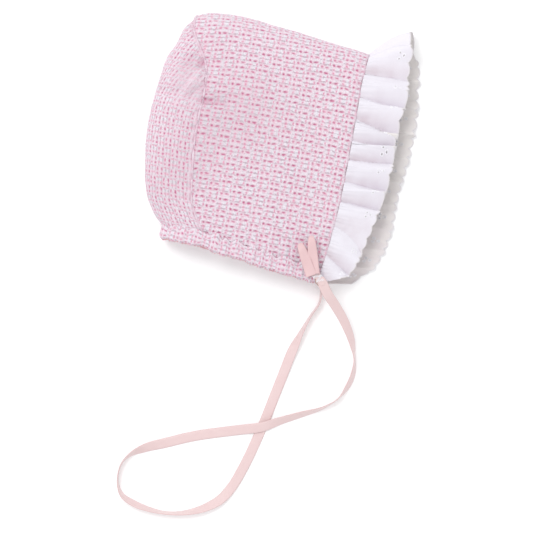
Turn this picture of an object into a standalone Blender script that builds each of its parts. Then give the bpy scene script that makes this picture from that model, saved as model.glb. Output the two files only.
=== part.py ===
"""Knit bonnet lying on its side, with an eyelet ruffle round the face edge and a ribbon chin strap.

Metres, +Z up. +X points out of the face opening and +Y to the crown fold. The lower side of the
bonnet lies flat on z = 0, under the middle of the bonnet's own box without the strap.
"""

import math
from collections import namedtuple

import bmesh
import bpy
import numpy as np
from mathutils import Matrix, Vector
from mathutils.geometry import delaunay_2d_cdt

# Knitted body: from the neck edge to the crown fold, from the face edge to the back seam, from the
# seam to the back, and up from the surface. The roundness of the back is a superellipse's power.
HALF_GIRTH = 0.158
CROWN_DEPTH = 0.108
BACK_DEPTH = 0.034
LOFT = 0.037
KNIT_WALL = 0.002
FOLD_REACH = 0.014
RELIEF = 0.003
LOWER_LEAD = 0.004
FACE_X = 0.0502
NECK_Y = -0.0860
FOLD_CENTRE = 0.45
BACK_ROUND_LOWER = 3.2
BACK_ROUND_UPPER = 2.2

# Neck casing
CASING_DEPTH = 0.008
CASING_THICKNESS = 0.0046
CASING_PUCKERS = 30
PUCKER_SWELL = 0.16

# Eyelet ruffle
RUFFLE_WIDTH = 0.035
RUFFLE_CLOTH = 0.001
RUFFLE_TAIL = 0.006
RUFFLE_FULLNESS = 1.6
FLUTE_RISE = 0.0075
GATHER_RISE = 0.0016
EYELET_RADIUS = 0.00095
EYELET_SPREAD = 0.0026
EYELET_PLACE = 0.70

# Ribbon
RIBBON_WIDTH = 0.007
RIBBON_THICKNESS = 0.0008
BOW_LOOP_RISE = 0.004
TACK_LENGTH = 0.0095
TACK_WIDTH = 0.005
TACK_THICKNESS = 0.0022
TACK_TURN = 138
TACK_INSET = 0.0028
TACK_DROP = 0.0012
BOW_ROOT_GAP = 0.0009
BOW_ROOT_WIDTH = 0.62
BOW_CLEARANCE = 0.0014
STRAP_INSET = 0.0015
STRAP_END_ROLL = 70
STRAP_LEAD = 0.003

SEWN_GAP = 0.0003

# Mesh steps, and the fineness of curves that are sampled before they are meshed
DEPTH_STEPS = 15
LAYER_STEPS = 13
FOLD_STEPS = 5
BACK_STEPS = 12
CASING_STEPS_A_PUCKER = 4
CASING_SIDES = 8
FLUTE_STEPS = 7
RUFFLE_ROWS = 4
EYELET_SIDES = 6
STRAP_POINTS = 78
CASING_PATH_STEPS = 40
EDGE_STEPS = 90
ROUTE_FINENESS = 12
FOLD_EDGE_DEGREES = 6
EYELET_CLEAR = 1.6
HOLE_CORE = 0.8
FLAT_UNIT = 0.001
MERGE = 1e-7

# Edges of the knitted panels by height, as shares of HALF_GIRTH, CROWN_DEPTH and BACK_DEPTH
Level = namedtuple("Level", "height seam_back face_lead back_bulge puff")
LEVELS = (
    Level(0.00, 0.80, -0.020, 1.00, 0.00),
    Level(0.06, 0.86, -0.010, 0.98, 0.00),
    Level(0.13, 0.92, 0.000, 0.95, 0.00),
    Level(0.21, 0.95, 0.006, 0.99, 0.00),
    Level(0.30, 0.97, 0.012, 1.02, 0.00),
    Level(0.40, 0.99, 0.011, 1.01, 0.10),
    Level(0.58, 1.00, 0.005, 0.97, 0.50),
    Level(0.68, 1.00, 0.000, 0.93, 1.00),
    Level(0.78, 1.03, -0.006, 0.79, 0.60),
    Level(0.85, 1.09, -0.011, 0.50, 0.20),
    Level(0.92, 1.15, -0.008, 0.28, 0.00),
    Level(0.97, 1.16, -0.003, 0.17, 0.00),
    Level(1.00, 1.16, 0.000, 0.00, 0.00),
)

# Cross-sections from the back seam to the face edge, as shares of CROWN_DEPTH, HALF_GIRTH and LOFT
Station = namedtuple("Station", "depth fold_rise neck_rise loft neck shoulder")
STATIONS = (
    Station(0.00, 1.010, 0.039, 0.96, 0.74, 0.70),
    Station(0.30, 1.038, 0.031, 1.00, 0.71, 0.69),
    Station(0.55, 1.030, 0.015, 0.92, 0.66, 0.64),
    Station(0.75, 1.014, 0.006, 0.81, 0.62, 0.60),
    Station(1.00, 1.000, 0.000, 0.72, 0.60, 0.56),
)

# Soft dents and swells of the upper side, places as shares, reaches as shares of HALF_GIRTH
Dent = namedtuple("Dent", "depth height reach_x reach_y rise")
DENTS = (
    Dent(0.04, 0.615, 0.13, 0.028, -1.0),
    Dent(0.05, 0.70, 0.09, 0.050, 0.6),
    Dent(0.02, 0.775, 0.07, 0.022, -0.6),
    Dent(0.03, 0.83, 0.08, 0.030, 0.3),
    Dent(0.16, 0.46, 0.15, 0.110, -0.6),
    Dent(0.55, 0.62, 0.20, 0.140, 0.3),
    Dent(0.82, 0.30, 0.12, 0.130, -0.3),
)

# How the ruffle stands off the edge: place is the share from the lower corner, round the fold,
# to the upper corner. Flare is in degrees away from the hollow, fan in degrees along the edge.
Frill = namedtuple("Frill", "place flare fan reach")
FRILLS = (
    Frill(0.00, -3.0, 12.0, 0.74),
    Frill(0.04, -3.0, 4.0, 0.93),
    Frill(0.12, -3.0, 0.0, 1.02),
    Frill(0.36, -3.0, 2.0, 1.00),
    Frill(0.46, 4.0, 8.0, 0.94),
    Frill(0.50, 38.0, 0.0, 0.92),
    Frill(0.54, -2.0, -12.0, 0.96),
    Frill(0.60, -10.5, -5.0, 0.98),
    Frill(0.76, -14.5, 0.0, 0.97),
    Frill(0.90, -12.0, 10.0, 0.94),
    Frill(0.96, -8.0, 8.0, 0.80),
    Frill(1.00, -4.0, -16.0, 0.62),
)

# One row for each flute's crest, with its rise as a share of FLUTE_RISE
Flute = namedtuple("Flute", "place rise")
FLUTES = (
    Flute(0.020, 0.50),
    Flute(0.064, 0.55),
    Flute(0.111, 0.62),
    Flute(0.160, 0.55),
    Flute(0.212, 0.62),
    Flute(0.261, 0.52),
    Flute(0.312, 0.62),
    Flute(0.363, 0.58),
    Flute(0.412, 0.65),
    Flute(0.458, 0.75),
    Flute(0.502, 0.95),
    Flute(0.548, 0.95),
    Flute(0.594, 1.05),
    Flute(0.645, 1.10),
    Flute(0.690, 0.85),
    Flute(0.731, 1.10),
    Flute(0.775, 0.95),
    Flute(0.818, 0.75),
    Flute(0.858, 0.85),
    Flute(0.904, 1.05),
    Flute(0.950, 0.80),
)

# The bow's two loops lie from the tack towards the crown: turn is in degrees from +X
BowLoop = namedtuple("BowLoop", "name length turn root_shift")
BOW_LOOPS = (
    BowLoop("bow_loop_back", 0.0190, 130.0, 0.0026),
    BowLoop("bow_loop_front", 0.0215, 98.0, -0.0026),
)

# A loop's side view, from the tack to its tip and back over itself: shares of length and rise
LoopSpot = namedtuple("LoopSpot", "along up")
BOW_LOOP_OUTLINE = (
    LoopSpot(0.00, 0.10),
    LoopSpot(0.30, -0.05),
    LoopSpot(0.70, 0.10),
    LoopSpot(0.93, 0.05),
    LoopSpot(1.00, 0.50),
    LoopSpot(0.90, 1.00),
    LoopSpot(0.60, 0.95),
    LoopSpot(0.30, 0.60),
    LoopSpot(0.00, 0.42),
)

# The strap's route, in metres: lift is the height of the ribbon's middle, roll in degrees is 0 for
# flat and 90 for on edge
Route = namedtuple("Route", "x y lift roll")
STRAP_ROUTE = (
    Route(0.0556, -0.0983, 0.0250, 5),
    Route(0.0626, -0.1050, 0.0200, 12),
    Route(0.0734, -0.1172, 0.0125, 25),
    Route(0.0806, -0.1287, 0.0070, 50),
    Route(0.0847, -0.1394, 0.0040, 80),
    Route(0.0860, -0.1495, 0.0036, 62),
    Route(0.0840, -0.1601, 0.0036, 60),
    Route(0.0792, -0.1697, 0.0038, 85),
    Route(0.0714, -0.1772, 0.0037, 75),
    Route(0.0554, -0.1864, 0.0030, 50),
    Route(0.0424, -0.1936, 0.0028, 36),
    Route(0.0308, -0.2005, 0.0026, 12),
    Route(0.0161, -0.2058, 0.0014, 6),
    Route(-0.0175, -0.2182, 0.0009, 3),
    Route(-0.0339, -0.2261, 0.0012, 8),
    Route(-0.0470, -0.2324, 0.0025, 30),
    Route(-0.0563, -0.2394, 0.0037, 68),
    Route(-0.0606, -0.2460, 0.0038, 84),
    Route(-0.0616, -0.2549, 0.0038, 88),
    Route(-0.0601, -0.2618, 0.0038, 84),
    Route(-0.0559, -0.2682, 0.0036, 70),
    Route(-0.0471, -0.2722, 0.0034, 56),
    Route(-0.0358, -0.2741, 0.0035, 66),
    Route(-0.0234, -0.2742, 0.0037, 78),
    Route(-0.0096, -0.2712, 0.0035, 68),
    Route(0.0034, -0.2649, 0.0028, 42),
    Route(0.0126, -0.2573, 0.0018, 20),
    Route(0.0190, -0.2465, 0.0009, 5),
    Route(0.0239, -0.2318, 0.0008, 2),
    Route(0.0306, -0.2028, 0.0006, 0),
    Route(0.0351, -0.1764, 0.0007, 2),
    Route(0.0376, -0.1614, 0.0009, 5),
    Route(0.0404, -0.1441, 0.0018, 18),
    Route(0.0435, -0.1311, 0.0031, 50),
    Route(0.0477, -0.1171, 0.0037, 74),
    Route(0.0521, -0.1053, 0.0037, 72),
)

# Finishes: base colour, roughness
KNIT_FINISH = ((0.92, 0.66, 0.76), 0.9)
CASING_FINISH = ((0.90, 0.60, 0.70), 0.9)
COTTON_FINISH = ((0.93, 0.93, 0.95), 0.85)
SATIN_FINISH = ((0.93, 0.70, 0.68), 0.35)

EDGE_ON = math.radians(90)


def column_of(rows, along, column):
    """A smooth function through one column of a table, read along another."""
    places = np.array([getattr(row, along) for row in rows])
    values = np.array([getattr(row, column) for row in rows])
    slopes = np.gradient(values, places)

    def value_at(place):
        i = int(np.clip(np.searchsorted(places, place) - 1, 0, len(places) - 2))
        step = places[i + 1] - places[i]
        t = float(np.clip((place - places[i]) / step, 0, 1))
        start = values[i] * (1 + 2 * t) * (1 - t) ** 2 + slopes[i] * step * t * (1 - t) ** 2
        end = values[i + 1] * t * t * (3 - 2 * t) + slopes[i + 1] * step * t * t * (t - 1)
        return start + end

    return value_at


LEVEL = {name: column_of(LEVELS, "height", name) for name in Level._fields}
STATION = {name: column_of(STATIONS, "depth", name) for name in Station._fields}
FRILL = {name: column_of(FRILLS, "place", name) for name in Frill._fields}


def finish(name, look):
    """A Principled material of one colour and roughness."""
    colour, roughness = look
    material = bpy.data.materials.new(name)
    material.use_nodes = True
    shader = material.node_tree.nodes["Principled BSDF"]
    shader.inputs["Base Color"].default_value = (*colour, 1)
    shader.inputs["Roughness"].default_value = roughness
    shader.inputs["Metallic"].default_value = 0
    return material


def piece_of(name, data, material, collection):
    """A named object with one material, in the bonnet's collection."""
    data.materials.append(material)
    piece = bpy.data.objects.new(name, data)
    collection.objects.link(piece)
    return piece


def mesh_of(name, points, faces):
    """A smooth-shaded mesh whose faces all point the same way, outwards."""
    mesh = bpy.data.meshes.new(name)
    mesh.from_pydata([tuple(point) for point in points], [], faces)
    tidy = bmesh.new()
    tidy.from_mesh(mesh)
    bmesh.ops.recalc_face_normals(tidy, faces=tidy.faces)
    if tidy.calc_volume(signed=True) < 0:
        bmesh.ops.reverse_faces(tidy, faces=tidy.faces)
    tidy.to_mesh(mesh)
    tidy.free()
    mesh.shade_smooth()
    return mesh


def seam_x(height):
    return FACE_X - CROWN_DEPTH * LEVEL["seam_back"](height)


def face_x(height, side):
    lead = LOWER_LEAD * (1 - height) if side < 0 else 0
    return FACE_X + CROWN_DEPTH * LEVEL["face_lead"](height) + lead


def relief_at(depth, height):
    """How far the upper side is dented in or swollen out."""
    rise = 0
    for dent in DENTS:
        along = (depth - dent.depth) * CROWN_DEPTH / (dent.reach_x * HALF_GIRTH)
        up = (height - dent.height) / dent.reach_y
        rise += RELIEF * dent.rise * math.exp(-along * along - up * up)
    return rise


def fold_closing(height):
    """1 on the layers, falling to 0 round the crown fold."""
    from_fold = min((1 - height) * HALF_GIRTH / FOLD_REACH, 1)
    return math.sqrt(1 - (1 - from_fold) ** 2)


def side_point(depth, height, side):
    """A point on the outer face of the crown band: side is -1 for the lower layer, 1 for the upper."""
    back, front = seam_x(height), face_x(height, side)
    neck, fold = STATION["neck_rise"](depth), STATION["fold_rise"](depth)
    base = STATION["neck" if height < 0.5 else "shoulder"](depth)
    crown = STATION["loft"](depth)
    top = LOFT * (base + (crown - base) * math.sin(math.pi * height))
    middle = LOFT * STATION["shoulder"](depth) * FOLD_CENTRE
    closing = fold_closing(height)
    if side < 0:
        z = middle * (1 - closing)
    else:
        z = middle + (top + relief_at(depth, height) - middle) * closing
    y = NECK_Y + HALF_GIRTH * (neck + height * (fold - neck))
    return Vector((back + depth * (front - back), y, z))


def back_point(height, turn):
    """A point on the back panel: turn runs from -90 at the lower seam to 90 at the upper one."""
    lower, upper = side_point(0, height, -1), side_point(0, height, 1)
    round_of = BACK_ROUND_LOWER if turn < 0 else BACK_ROUND_UPPER
    angle = math.radians(turn)
    out = abs(math.cos(angle)) ** (2 / round_of)
    up = math.copysign(abs(math.sin(angle)) ** (2 / round_of), turn)
    if abs(turn) == 90:
        out, up = 0, turn / 90
    puff = RELIEF * LEVEL["puff"](height) * max(math.sin(2 * angle), 0)
    x = lower.x - BACK_DEPTH * LEVEL["back_bulge"](height) * out
    z = (lower.z + upper.z) / 2 + up * (upper.z - lower.z) / 2 + puff
    return Vector((x, lower.y, z))


def rail_heights():
    """Heights of the points up one layer, close together round the crown fold."""
    straight = 1 - FOLD_REACH / HALF_GIRTH
    heights = [straight * i / LAYER_STEPS for i in range(LAYER_STEPS)]
    for i in range(FOLD_STEPS + 1):
        heights.append(1 - (1 - straight) * (1 - math.sin(math.radians(90 * i / FOLD_STEPS))))
    return heights


def panel_grids():
    """The outer faces of both knitted panels, as rows of points that share the back seam."""
    heights = rail_heights()
    rails = [(height, -1) for height in heights] + [(height, 1) for height in heights[-2::-1]]
    depths = [i / DEPTH_STEPS for i in range(DEPTH_STEPS + 1)]
    turns = [-90 + 180 * i / BACK_STEPS for i in range(BACK_STEPS + 1)]
    return {
        "side_panel": [[side_point(depth, *rail) for rail in rails] for depth in depths],
        "back_panel": [[back_point(height, turn) for turn in turns] for height in heights],
    }


def joined_faces(grids):
    """Points shared where the grids meet, and each grid's faces as rows of point numbers."""
    numbers, points, faces = {}, [], {}

    def number_of(point):
        key = tuple(round(value / MERGE) for value in point)
        if key not in numbers:
            numbers[key] = len(points)
            points.append(point)
        return numbers[key]

    for name, grid in grids.items():
        ids = [[number_of(point) for point in row] for row in grid]
        found = []
        for first, second in zip(ids, ids[1:]):
            for i in range(len(first) - 1):
                corners = (first[i], first[i + 1], second[i + 1], second[i])
                corners = tuple(dict.fromkeys(corners))
                if len(corners) > 2:
                    found.append(corners)
        faces[name] = found
    return points, faces


def outward_normals(points, faces):
    """Each point's normal on the whole bonnet, so that both walls turn the same way at the seam."""
    mesh = mesh_of("whole_body", points, [face for found in faces.values() for face in found])
    whole = bmesh.new()
    whole.from_mesh(mesh)
    whole.normal_update()
    normals = [vert.normal.copy() for vert in whole.verts]
    whole.free()
    bpy.data.meshes.remove(mesh)
    top = max(range(len(points)), key=lambda i: points[i].z)
    return normals if normals[top].z > 0 else [-normal for normal in normals]


def walled(faces, points, normals, shift):
    """The points and faces of a closed wall under some faces of the body."""
    used = sorted({corner for face in faces for corner in face})
    renumbered = {old: new for new, old in enumerate(used)}
    outer = [points[old] + shift[old] for old in used]
    inner = [points[old] + shift[old] - normals[old] * KNIT_WALL for old in used]
    skin = [tuple(renumbered[corner] for corner in face) for face in faces]
    lining = [tuple(corner + len(used) for corner in reversed(face)) for face in skin]
    edges = [pair for face in skin for pair in zip(face, face[1:] + face[:1])]
    shared = set(edges)
    rim = [
        (end, start, start + len(used), end + len(used))
        for start, end in edges
        if (end, start) not in shared
    ]
    return outer + inner, skin + lining + rim


def knitted_panels(collection):
    """The crown band and the back panel, a small gap apart along their seam."""
    grids = panel_grids()
    points, faces = joined_faces(grids)
    normals = outward_normals(points, faces)
    corners = {name: {i for face in found for i in face} for name, found in faces.items()}
    seam = corners["side_panel"] & corners["back_panel"]
    knit = finish("pink_knit", KNIT_FINISH)
    for name, way in (("side_panel", 1), ("back_panel", -1)):
        shift = [Vector((way * SEWN_GAP / 2 if i in seam else 0, 0, 0)) for i in range(len(points))]
        piece_of(name, mesh_of(name, *walled(faces[name], points, normals, shift)), knit, collection)


def resampled(points, count):
    """Points an even distance apart along a line of points."""
    line = np.array([tuple(point) for point in points])
    gone = np.concatenate([[0], np.cumsum(np.linalg.norm(np.diff(line, axis=0), axis=1))])
    places = np.linspace(0, gone[-1], count)
    return np.stack([np.interp(places, gone, values) for values in line.T], axis=1)


def unit_rows(rows):
    return rows / np.linalg.norm(rows, axis=1, keepdims=True)


def neck_casing(collection):
    """The ruched casing along the neck edge, a puckered tube of oval section."""
    steps = [i / CASING_PATH_STEPS for i in range(CASING_PATH_STEPS + 1)]
    path = [side_point(1 - step, 0, -1) for step in steps]
    path += [back_point(0, -90 + 180 * step) for step in steps[1:-1]]
    path += [side_point(step, 0, 1) for step in steps]
    count = CASING_PUCKERS * CASING_STEPS_A_PUCKER + 1
    line = resampled(path, count)
    along = unit_rows(np.gradient(line, axis=0))
    down = np.array((0.0, -1.0, 0.0))
    out = unit_rows(np.cross(along, down))
    centre = line - out * KNIT_WALL / 2 + down * (SEWN_GAP + CASING_DEPTH / 2)
    least = CASING_THICKNESS / 2 * (1 + PUCKER_SWELL)
    centre[:, 2] = np.maximum(centre[:, 2], least)
    points, faces = [], []
    for i in range(count):
        wave = math.cos(2 * math.pi * i / CASING_STEPS_A_PUCKER)
        swell = 1 + PUCKER_SWELL * wave
        for side in range(CASING_SIDES):
            angle = 2 * math.pi * (side + 0.5) / CASING_SIDES
            across = down * math.cos(angle) * CASING_DEPTH / 2
            points.append(centre[i] + across + out[i] * math.sin(angle) * CASING_THICKNESS / 2 * swell)
    for i in range(count - 1):
        for side in range(CASING_SIDES):
            after = (side + 1) % CASING_SIDES
            first, second = i * CASING_SIDES, (i + 1) * CASING_SIDES
            faces.append((first + side, first + after, second + after, second + side))
    faces.append(tuple(range(CASING_SIDES)))
    faces.append(tuple(range((count - 1) * CASING_SIDES, count * CASING_SIDES)))
    casing = finish("casing_knit", CASING_FINISH)
    piece_of("neck_casing", mesh_of("neck_casing", points, faces), casing, collection)
    return float(centre[-1, 2]) + least


def face_edge():
    """The ruffle's sewn edge: its points, directions along and out of the hollow, and length."""
    heights = [i / EDGE_STEPS for i in range(EDGE_STEPS)]
    for turn in range(0, 91, FOLD_EDGE_DEGREES):
        heights.append(1 - FOLD_REACH / HALF_GIRTH * (1 - math.sin(math.radians(turn))))
    heights = sorted(set(heights))
    path = [side_point(1, height, -1) for height in heights]
    path += [side_point(1, height, 1) for height in reversed(heights[:-1])]
    tail = Vector((0, -RUFFLE_TAIL, 0))
    path = [path[0] + tail] + path + [path[-1] + tail]
    line = resampled(path, 2 * EDGE_STEPS + 1)
    along = unit_rows(np.gradient(line, axis=0))
    out = unit_rows(np.cross(along, np.array((1.0, 0.0, 0.0))))
    line = line - out * KNIT_WALL / 2
    length = float(np.linalg.norm(np.diff(line, axis=0), axis=1).sum())
    return line, along, out, length


def flute_wave(place):
    """1 on a flute's crest and -1 in the valleys between, with the crests' rise."""
    places = [flute.place for flute in FLUTES]
    first, last = places[0], places[-1]
    places = [first - (places[1] - first)] + places + [last + (last - places[-2])]
    i = int(np.clip(np.searchsorted(places, place) - 1, 0, len(places) - 2))
    turn = (place - places[i]) / (places[i + 1] - places[i])
    rise = float(np.interp(place, places[1:-1], [flute.rise for flute in FLUTES]))
    return math.cos(2 * math.pi * turn), rise


def gathered_point(place, width, edge):
    """Where a point of the flat strip lies on the gathered ruffle, from its shares of length and width."""
    line, along, out, _ = edge
    spots = np.linspace(0, 1, len(line))
    base, forth, away = (
        Vector([float(np.interp(place, spots, values)) for values in rows.T])
        for rows in (line, along, out)
    )
    fan, flare = math.radians(FRILL["fan"](place)), math.radians(FRILL["flare"](place))
    level = Vector((1, 0, 0)) * math.cos(fan) + forth.normalized() * math.sin(fan)
    stand = level * math.cos(flare) + away.normalized() * math.sin(flare)
    wave, rise = flute_wave(place)
    swing = (GATHER_RISE + (FLUTE_RISE - GATHER_RISE) * width) * rise / 2 * wave
    reach = RUFFLE_WIDTH * FRILL["reach"](place) * width
    point = base + stand * (2 * SEWN_GAP + reach) + away.normalized() * swing
    point.z = max(point.z, RUFFLE_CLOTH / 2)
    return point


def eyelet_centres(length):
    """Centres of the pierced holes on the flat strip: three round each flute's flower."""
    centres = []
    for flute in FLUTES:
        for turn in (90, 210, 330):
            angle = math.radians(turn)
            across = flute.place * length + EYELET_SPREAD * math.cos(angle)
            centres.append(Vector((across, EYELET_PLACE * RUFFLE_WIDTH + EYELET_SPREAD * math.sin(angle))))
    return centres


def eyelet_ruffle(collection):
    """The eyelet strip: a flat pierced sheet, gathered onto the face edge, then given its thickness."""
    edge = face_edge()
    length = edge[3] * RUFFLE_FULLNESS
    centres = eyelet_centres(length)
    columns = len(FLUTES) * FLUTE_STEPS
    flat, holes = [], []
    for i in range(columns + 1):
        for row in range(RUFFLE_ROWS + 1):
            spot = Vector((length * i / columns, RUFFLE_WIDTH * row / RUFFLE_ROWS))
            if all((spot - centre).length > EYELET_CLEAR * EYELET_RADIUS for centre in centres):
                flat.append(spot)
    for centre in centres:
        first = len(flat)
        for side in range(EYELET_SIDES):
            angle = 2 * math.pi * side / EYELET_SIDES
            flat.append(centre + EYELET_RADIUS * Vector((math.cos(angle), math.sin(angle))))
        holes += [(first + i, first + (i + 1) % EYELET_SIDES) for i in range(EYELET_SIDES)]
    scaled = [spot / FLAT_UNIT for spot in flat]
    spots, _, triangles, _, _, _ = delaunay_2d_cdt(scaled, holes, [], 0, 1e-6)
    spots = [spot * FLAT_UNIT for spot in spots]

    def is_cloth(triangle):
        middle = sum((spots[corner] for corner in triangle), Vector((0, 0))) / 3
        return all((middle - centre).length > EYELET_RADIUS * HOLE_CORE for centre in centres)

    faces = [tuple(triangle) for triangle in triangles if is_cloth(triangle)]
    points = [gathered_point(spot.x / length, spot.y / RUFFLE_WIDTH, edge) for spot in spots]
    used = sorted({corner for face in faces for corner in face})
    renumbered = {old: new for new, old in enumerate(used)}
    faces = [tuple(renumbered[corner] for corner in face) for face in faces]
    cotton = finish("white_cotton", COTTON_FINISH)
    mesh = mesh_of("eyelet_ruffle", [points[old] for old in used], faces)
    ruffle = piece_of("eyelet_ruffle", mesh, cotton, collection)
    wall = ruffle.modifiers.new("cloth", "SOLIDIFY")
    wall.thickness = RUFFLE_CLOTH
    wall.offset = 0


def ribbon_curve(name, points, tilts, widths):
    """A ribbon with round edges along some points: tilt turns it, and width is a share of the full one."""
    data = bpy.data.curves.new(name, "CURVE")
    data.dimensions = "3D"
    data.twist_mode = "Z_UP"
    data.bevel_depth = RIBBON_THICKNESS / 2
    data.bevel_resolution = 0
    data.extrude = (RIBBON_WIDTH - RIBBON_THICKNESS) / 2
    data.use_fill_caps = True
    spline = data.splines.new("POLY")
    spline.points.add(len(points) - 1)
    for spot, point, tilt, width in zip(spline.points, points, tilts, widths):
        spot.co = (*point, 1)
        spot.tilt = tilt
        spot.radius = width
    return data


def panel_top(x, y):
    """The height of the crown band's upper face over a place seen from above."""
    height = (y - NECK_Y) / HALF_GIRTH
    depth = (x - seam_x(height)) / (face_x(height, 1) - seam_x(height))
    return side_point(min(max(depth, 0), 1), min(max(height, 0), 1), 1).z


def tack_frame(casing_top):
    """The middle of the bow's tack on the casing's upper front end, and the way from it to the crown."""
    turn = math.radians(TACK_TURN)
    way = Vector((math.cos(turn), math.sin(turn), 0))
    corner = Vector((face_x(0, 1), NECK_Y, 0))
    middle = corner + Vector((-TACK_INSET, -TACK_DROP, casing_top + SEWN_GAP + TACK_THICKNESS / 2))
    return middle, way


def ribbon_bow(casing_top, satin, collection):
    """The bow's tack and its two folded loops, which stand from the tack towards the crown."""
    middle, way = tack_frame(casing_top)
    block = bmesh.new()
    bmesh.ops.create_cube(block, size=1)
    bmesh.ops.scale(block, vec=(TACK_LENGTH, TACK_WIDTH, TACK_THICKNESS), verts=block.verts)
    bmesh.ops.bevel(block, geom=block.edges, offset=TACK_THICKNESS / 4, segments=1, affect="EDGES")
    mesh = bpy.data.meshes.new("bow_tack")
    block.to_mesh(mesh)
    block.free()
    tack = piece_of("bow_tack", mesh, satin, collection)
    tack.matrix_world = Matrix.Translation(middle) @ Matrix.Rotation(math.radians(TACK_TURN), 4, "Z")
    aside = Vector((way.y, -way.x, 0))
    for loop in BOW_LOOPS:
        turn = math.radians(loop.turn)
        root = middle + way * (TACK_LENGTH / 2 + BOW_ROOT_GAP) - aside * loop.root_shift
        tip = root + loop.length * Vector((math.cos(turn), math.sin(turn), 0))
        tip.z = max(panel_top(tip.x, tip.y) + BOW_CLEARANCE, root.z)
        forth = (tip - root).normalized()
        across = forth.cross(Vector((0, 0, 1))).normalized()
        up = across.cross(forth)
        outline = [
            Vector((spot.along * loop.length, spot.up * BOW_LOOP_RISE, 0)) for spot in BOW_LOOP_OUTLINE
        ]
        widths = [
            BOW_ROOT_WIDTH + (1 - BOW_ROOT_WIDTH) * min(2 * spot.along, 1) for spot in BOW_LOOP_OUTLINE
        ]
        data = ribbon_curve(loop.name, outline, [0] * len(outline), widths)
        piece = piece_of(loop.name, data, satin, collection)
        turned = Matrix((forth, up, forth.cross(up))).transposed().to_4x4()
        piece.matrix_world = Matrix.Translation(root) @ turned


def smooth_route(route, count):
    """Even points along one smooth curve through the route's own points, each with its roll."""
    rows = np.array(route)
    gone = np.concatenate([[0], np.cumsum(np.linalg.norm(np.diff(rows[:, :3], axis=0), axis=1))])
    slopes = np.gradient(rows, gone, axis=0)
    fine = []
    for i in range(len(rows) - 1):
        step = gone[i + 1] - gone[i]
        for t in np.linspace(0, 1, ROUTE_FINENESS, endpoint=False):
            start = rows[i] * (1 + 2 * t) * (1 - t) ** 2 + slopes[i] * step * t * (1 - t) ** 2
            end = rows[i + 1] * t * t * (3 - 2 * t) + slopes[i + 1] * step * t * t * (t - 1)
            fine.append(start + end)
    fine = np.array(fine + [rows[-1]])
    walked = np.concatenate([[0], np.cumsum(np.linalg.norm(np.diff(fine[:, :3], axis=0), axis=1))])
    places = np.linspace(0, walked[-1], count)
    return np.stack([np.interp(places, walked, values) for values in fine.T], axis=1)


def chin_strap(casing_top, satin, collection):
    """The ribbon loop, from the tack round to the casing's lower front end."""
    middle, way = tack_frame(casing_top)
    start = middle - way * (TACK_LENGTH / 2 + SEWN_GAP)
    lead = start - way * STRAP_LEAD
    sewn_y = NECK_Y - CASING_DEPTH - 2 * SEWN_GAP
    sewn_x = face_x(0, -1) - STRAP_INSET
    sewn = (sewn_x, sewn_y, RIBBON_WIDTH / 2 + SEWN_GAP, STRAP_END_ROLL)
    route = [(*start, 0), (*lead, 0), *STRAP_ROUTE, sewn]
    even = smooth_route(route, STRAP_POINTS)
    tilts = [EDGE_ON - math.radians(roll) for roll in even[:, 3]]
    data = ribbon_curve("chin_strap", even[:, :3], tilts, [1] * STRAP_POINTS)
    piece_of("chin_strap", data, satin, collection)


def stand_on_origin(collection):
    """Moves every piece so that the bonnet's box, without the strap, stands centred on the origin."""
    bpy.context.view_layer.update()
    graph = bpy.context.evaluated_depsgraph_get()
    corners = []
    for piece in collection.objects:
        if piece.name != "chin_strap":
            evaluated = piece.evaluated_get(graph)
            mesh = evaluated.to_mesh()
            corners += [piece.matrix_world @ vert.co for vert in mesh.vertices]
            evaluated.to_mesh_clear()
    spots = np.array([tuple(corner) for corner in corners])
    low, high = spots.min(axis=0), spots.max(axis=0)
    shift = Vector((-(low[0] + high[0]) / 2, -(low[1] + high[1]) / 2, 0))
    for piece in collection.objects:
        piece.location += shift


def main():
    for leftover in list(bpy.data.objects):
        bpy.data.objects.remove(leftover, do_unlink=True)
    collection = bpy.data.collections.new("knit_bonnet")
    bpy.context.scene.collection.children.link(collection)
    knitted_panels(collection)
    casing_top = neck_casing(collection)
    eyelet_ruffle(collection)
    satin = finish("salmon_satin", SATIN_FINISH)
    ribbon_bow(casing_top, satin, collection)
    chin_strap(casing_top, satin, collection)
    stand_on_origin(collection)


main()
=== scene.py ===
"""Looks of the knit bonnet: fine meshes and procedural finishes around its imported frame.

Metres, in the frame's own axes: +X out of the face opening, +Y to the crown fold, +Z up from the
surface that the bonnet's lower side lies on.
"""

import logging
import math
from dataclasses import dataclass
from enum import Enum
from typing import NamedTuple

import bmesh
import bpy
import numpy as np
from bpy.types import ID, Material, Mesh, Node, NodeSocket, NodeTree, Object
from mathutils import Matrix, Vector
from mathutils.geometry import delaunay_2d_cdt


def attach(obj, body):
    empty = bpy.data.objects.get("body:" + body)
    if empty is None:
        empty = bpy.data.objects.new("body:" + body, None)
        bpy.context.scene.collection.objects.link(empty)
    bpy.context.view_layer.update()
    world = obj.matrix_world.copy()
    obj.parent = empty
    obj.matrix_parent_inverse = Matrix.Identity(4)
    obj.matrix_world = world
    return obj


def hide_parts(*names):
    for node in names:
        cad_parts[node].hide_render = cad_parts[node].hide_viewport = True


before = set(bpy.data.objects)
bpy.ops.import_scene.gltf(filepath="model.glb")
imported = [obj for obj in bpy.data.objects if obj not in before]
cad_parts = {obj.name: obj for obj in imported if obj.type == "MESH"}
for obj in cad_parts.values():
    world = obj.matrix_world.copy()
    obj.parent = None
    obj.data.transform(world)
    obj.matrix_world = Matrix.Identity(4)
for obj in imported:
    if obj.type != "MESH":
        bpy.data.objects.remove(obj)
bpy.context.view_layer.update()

LOG = logging.getLogger("knit_bonnet")
BODY = "root"
SEED = 7
TURN = 2 * math.pi
Array = np.ndarray
UP = np.array((0.0, 0.0, 1.0))


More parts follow.
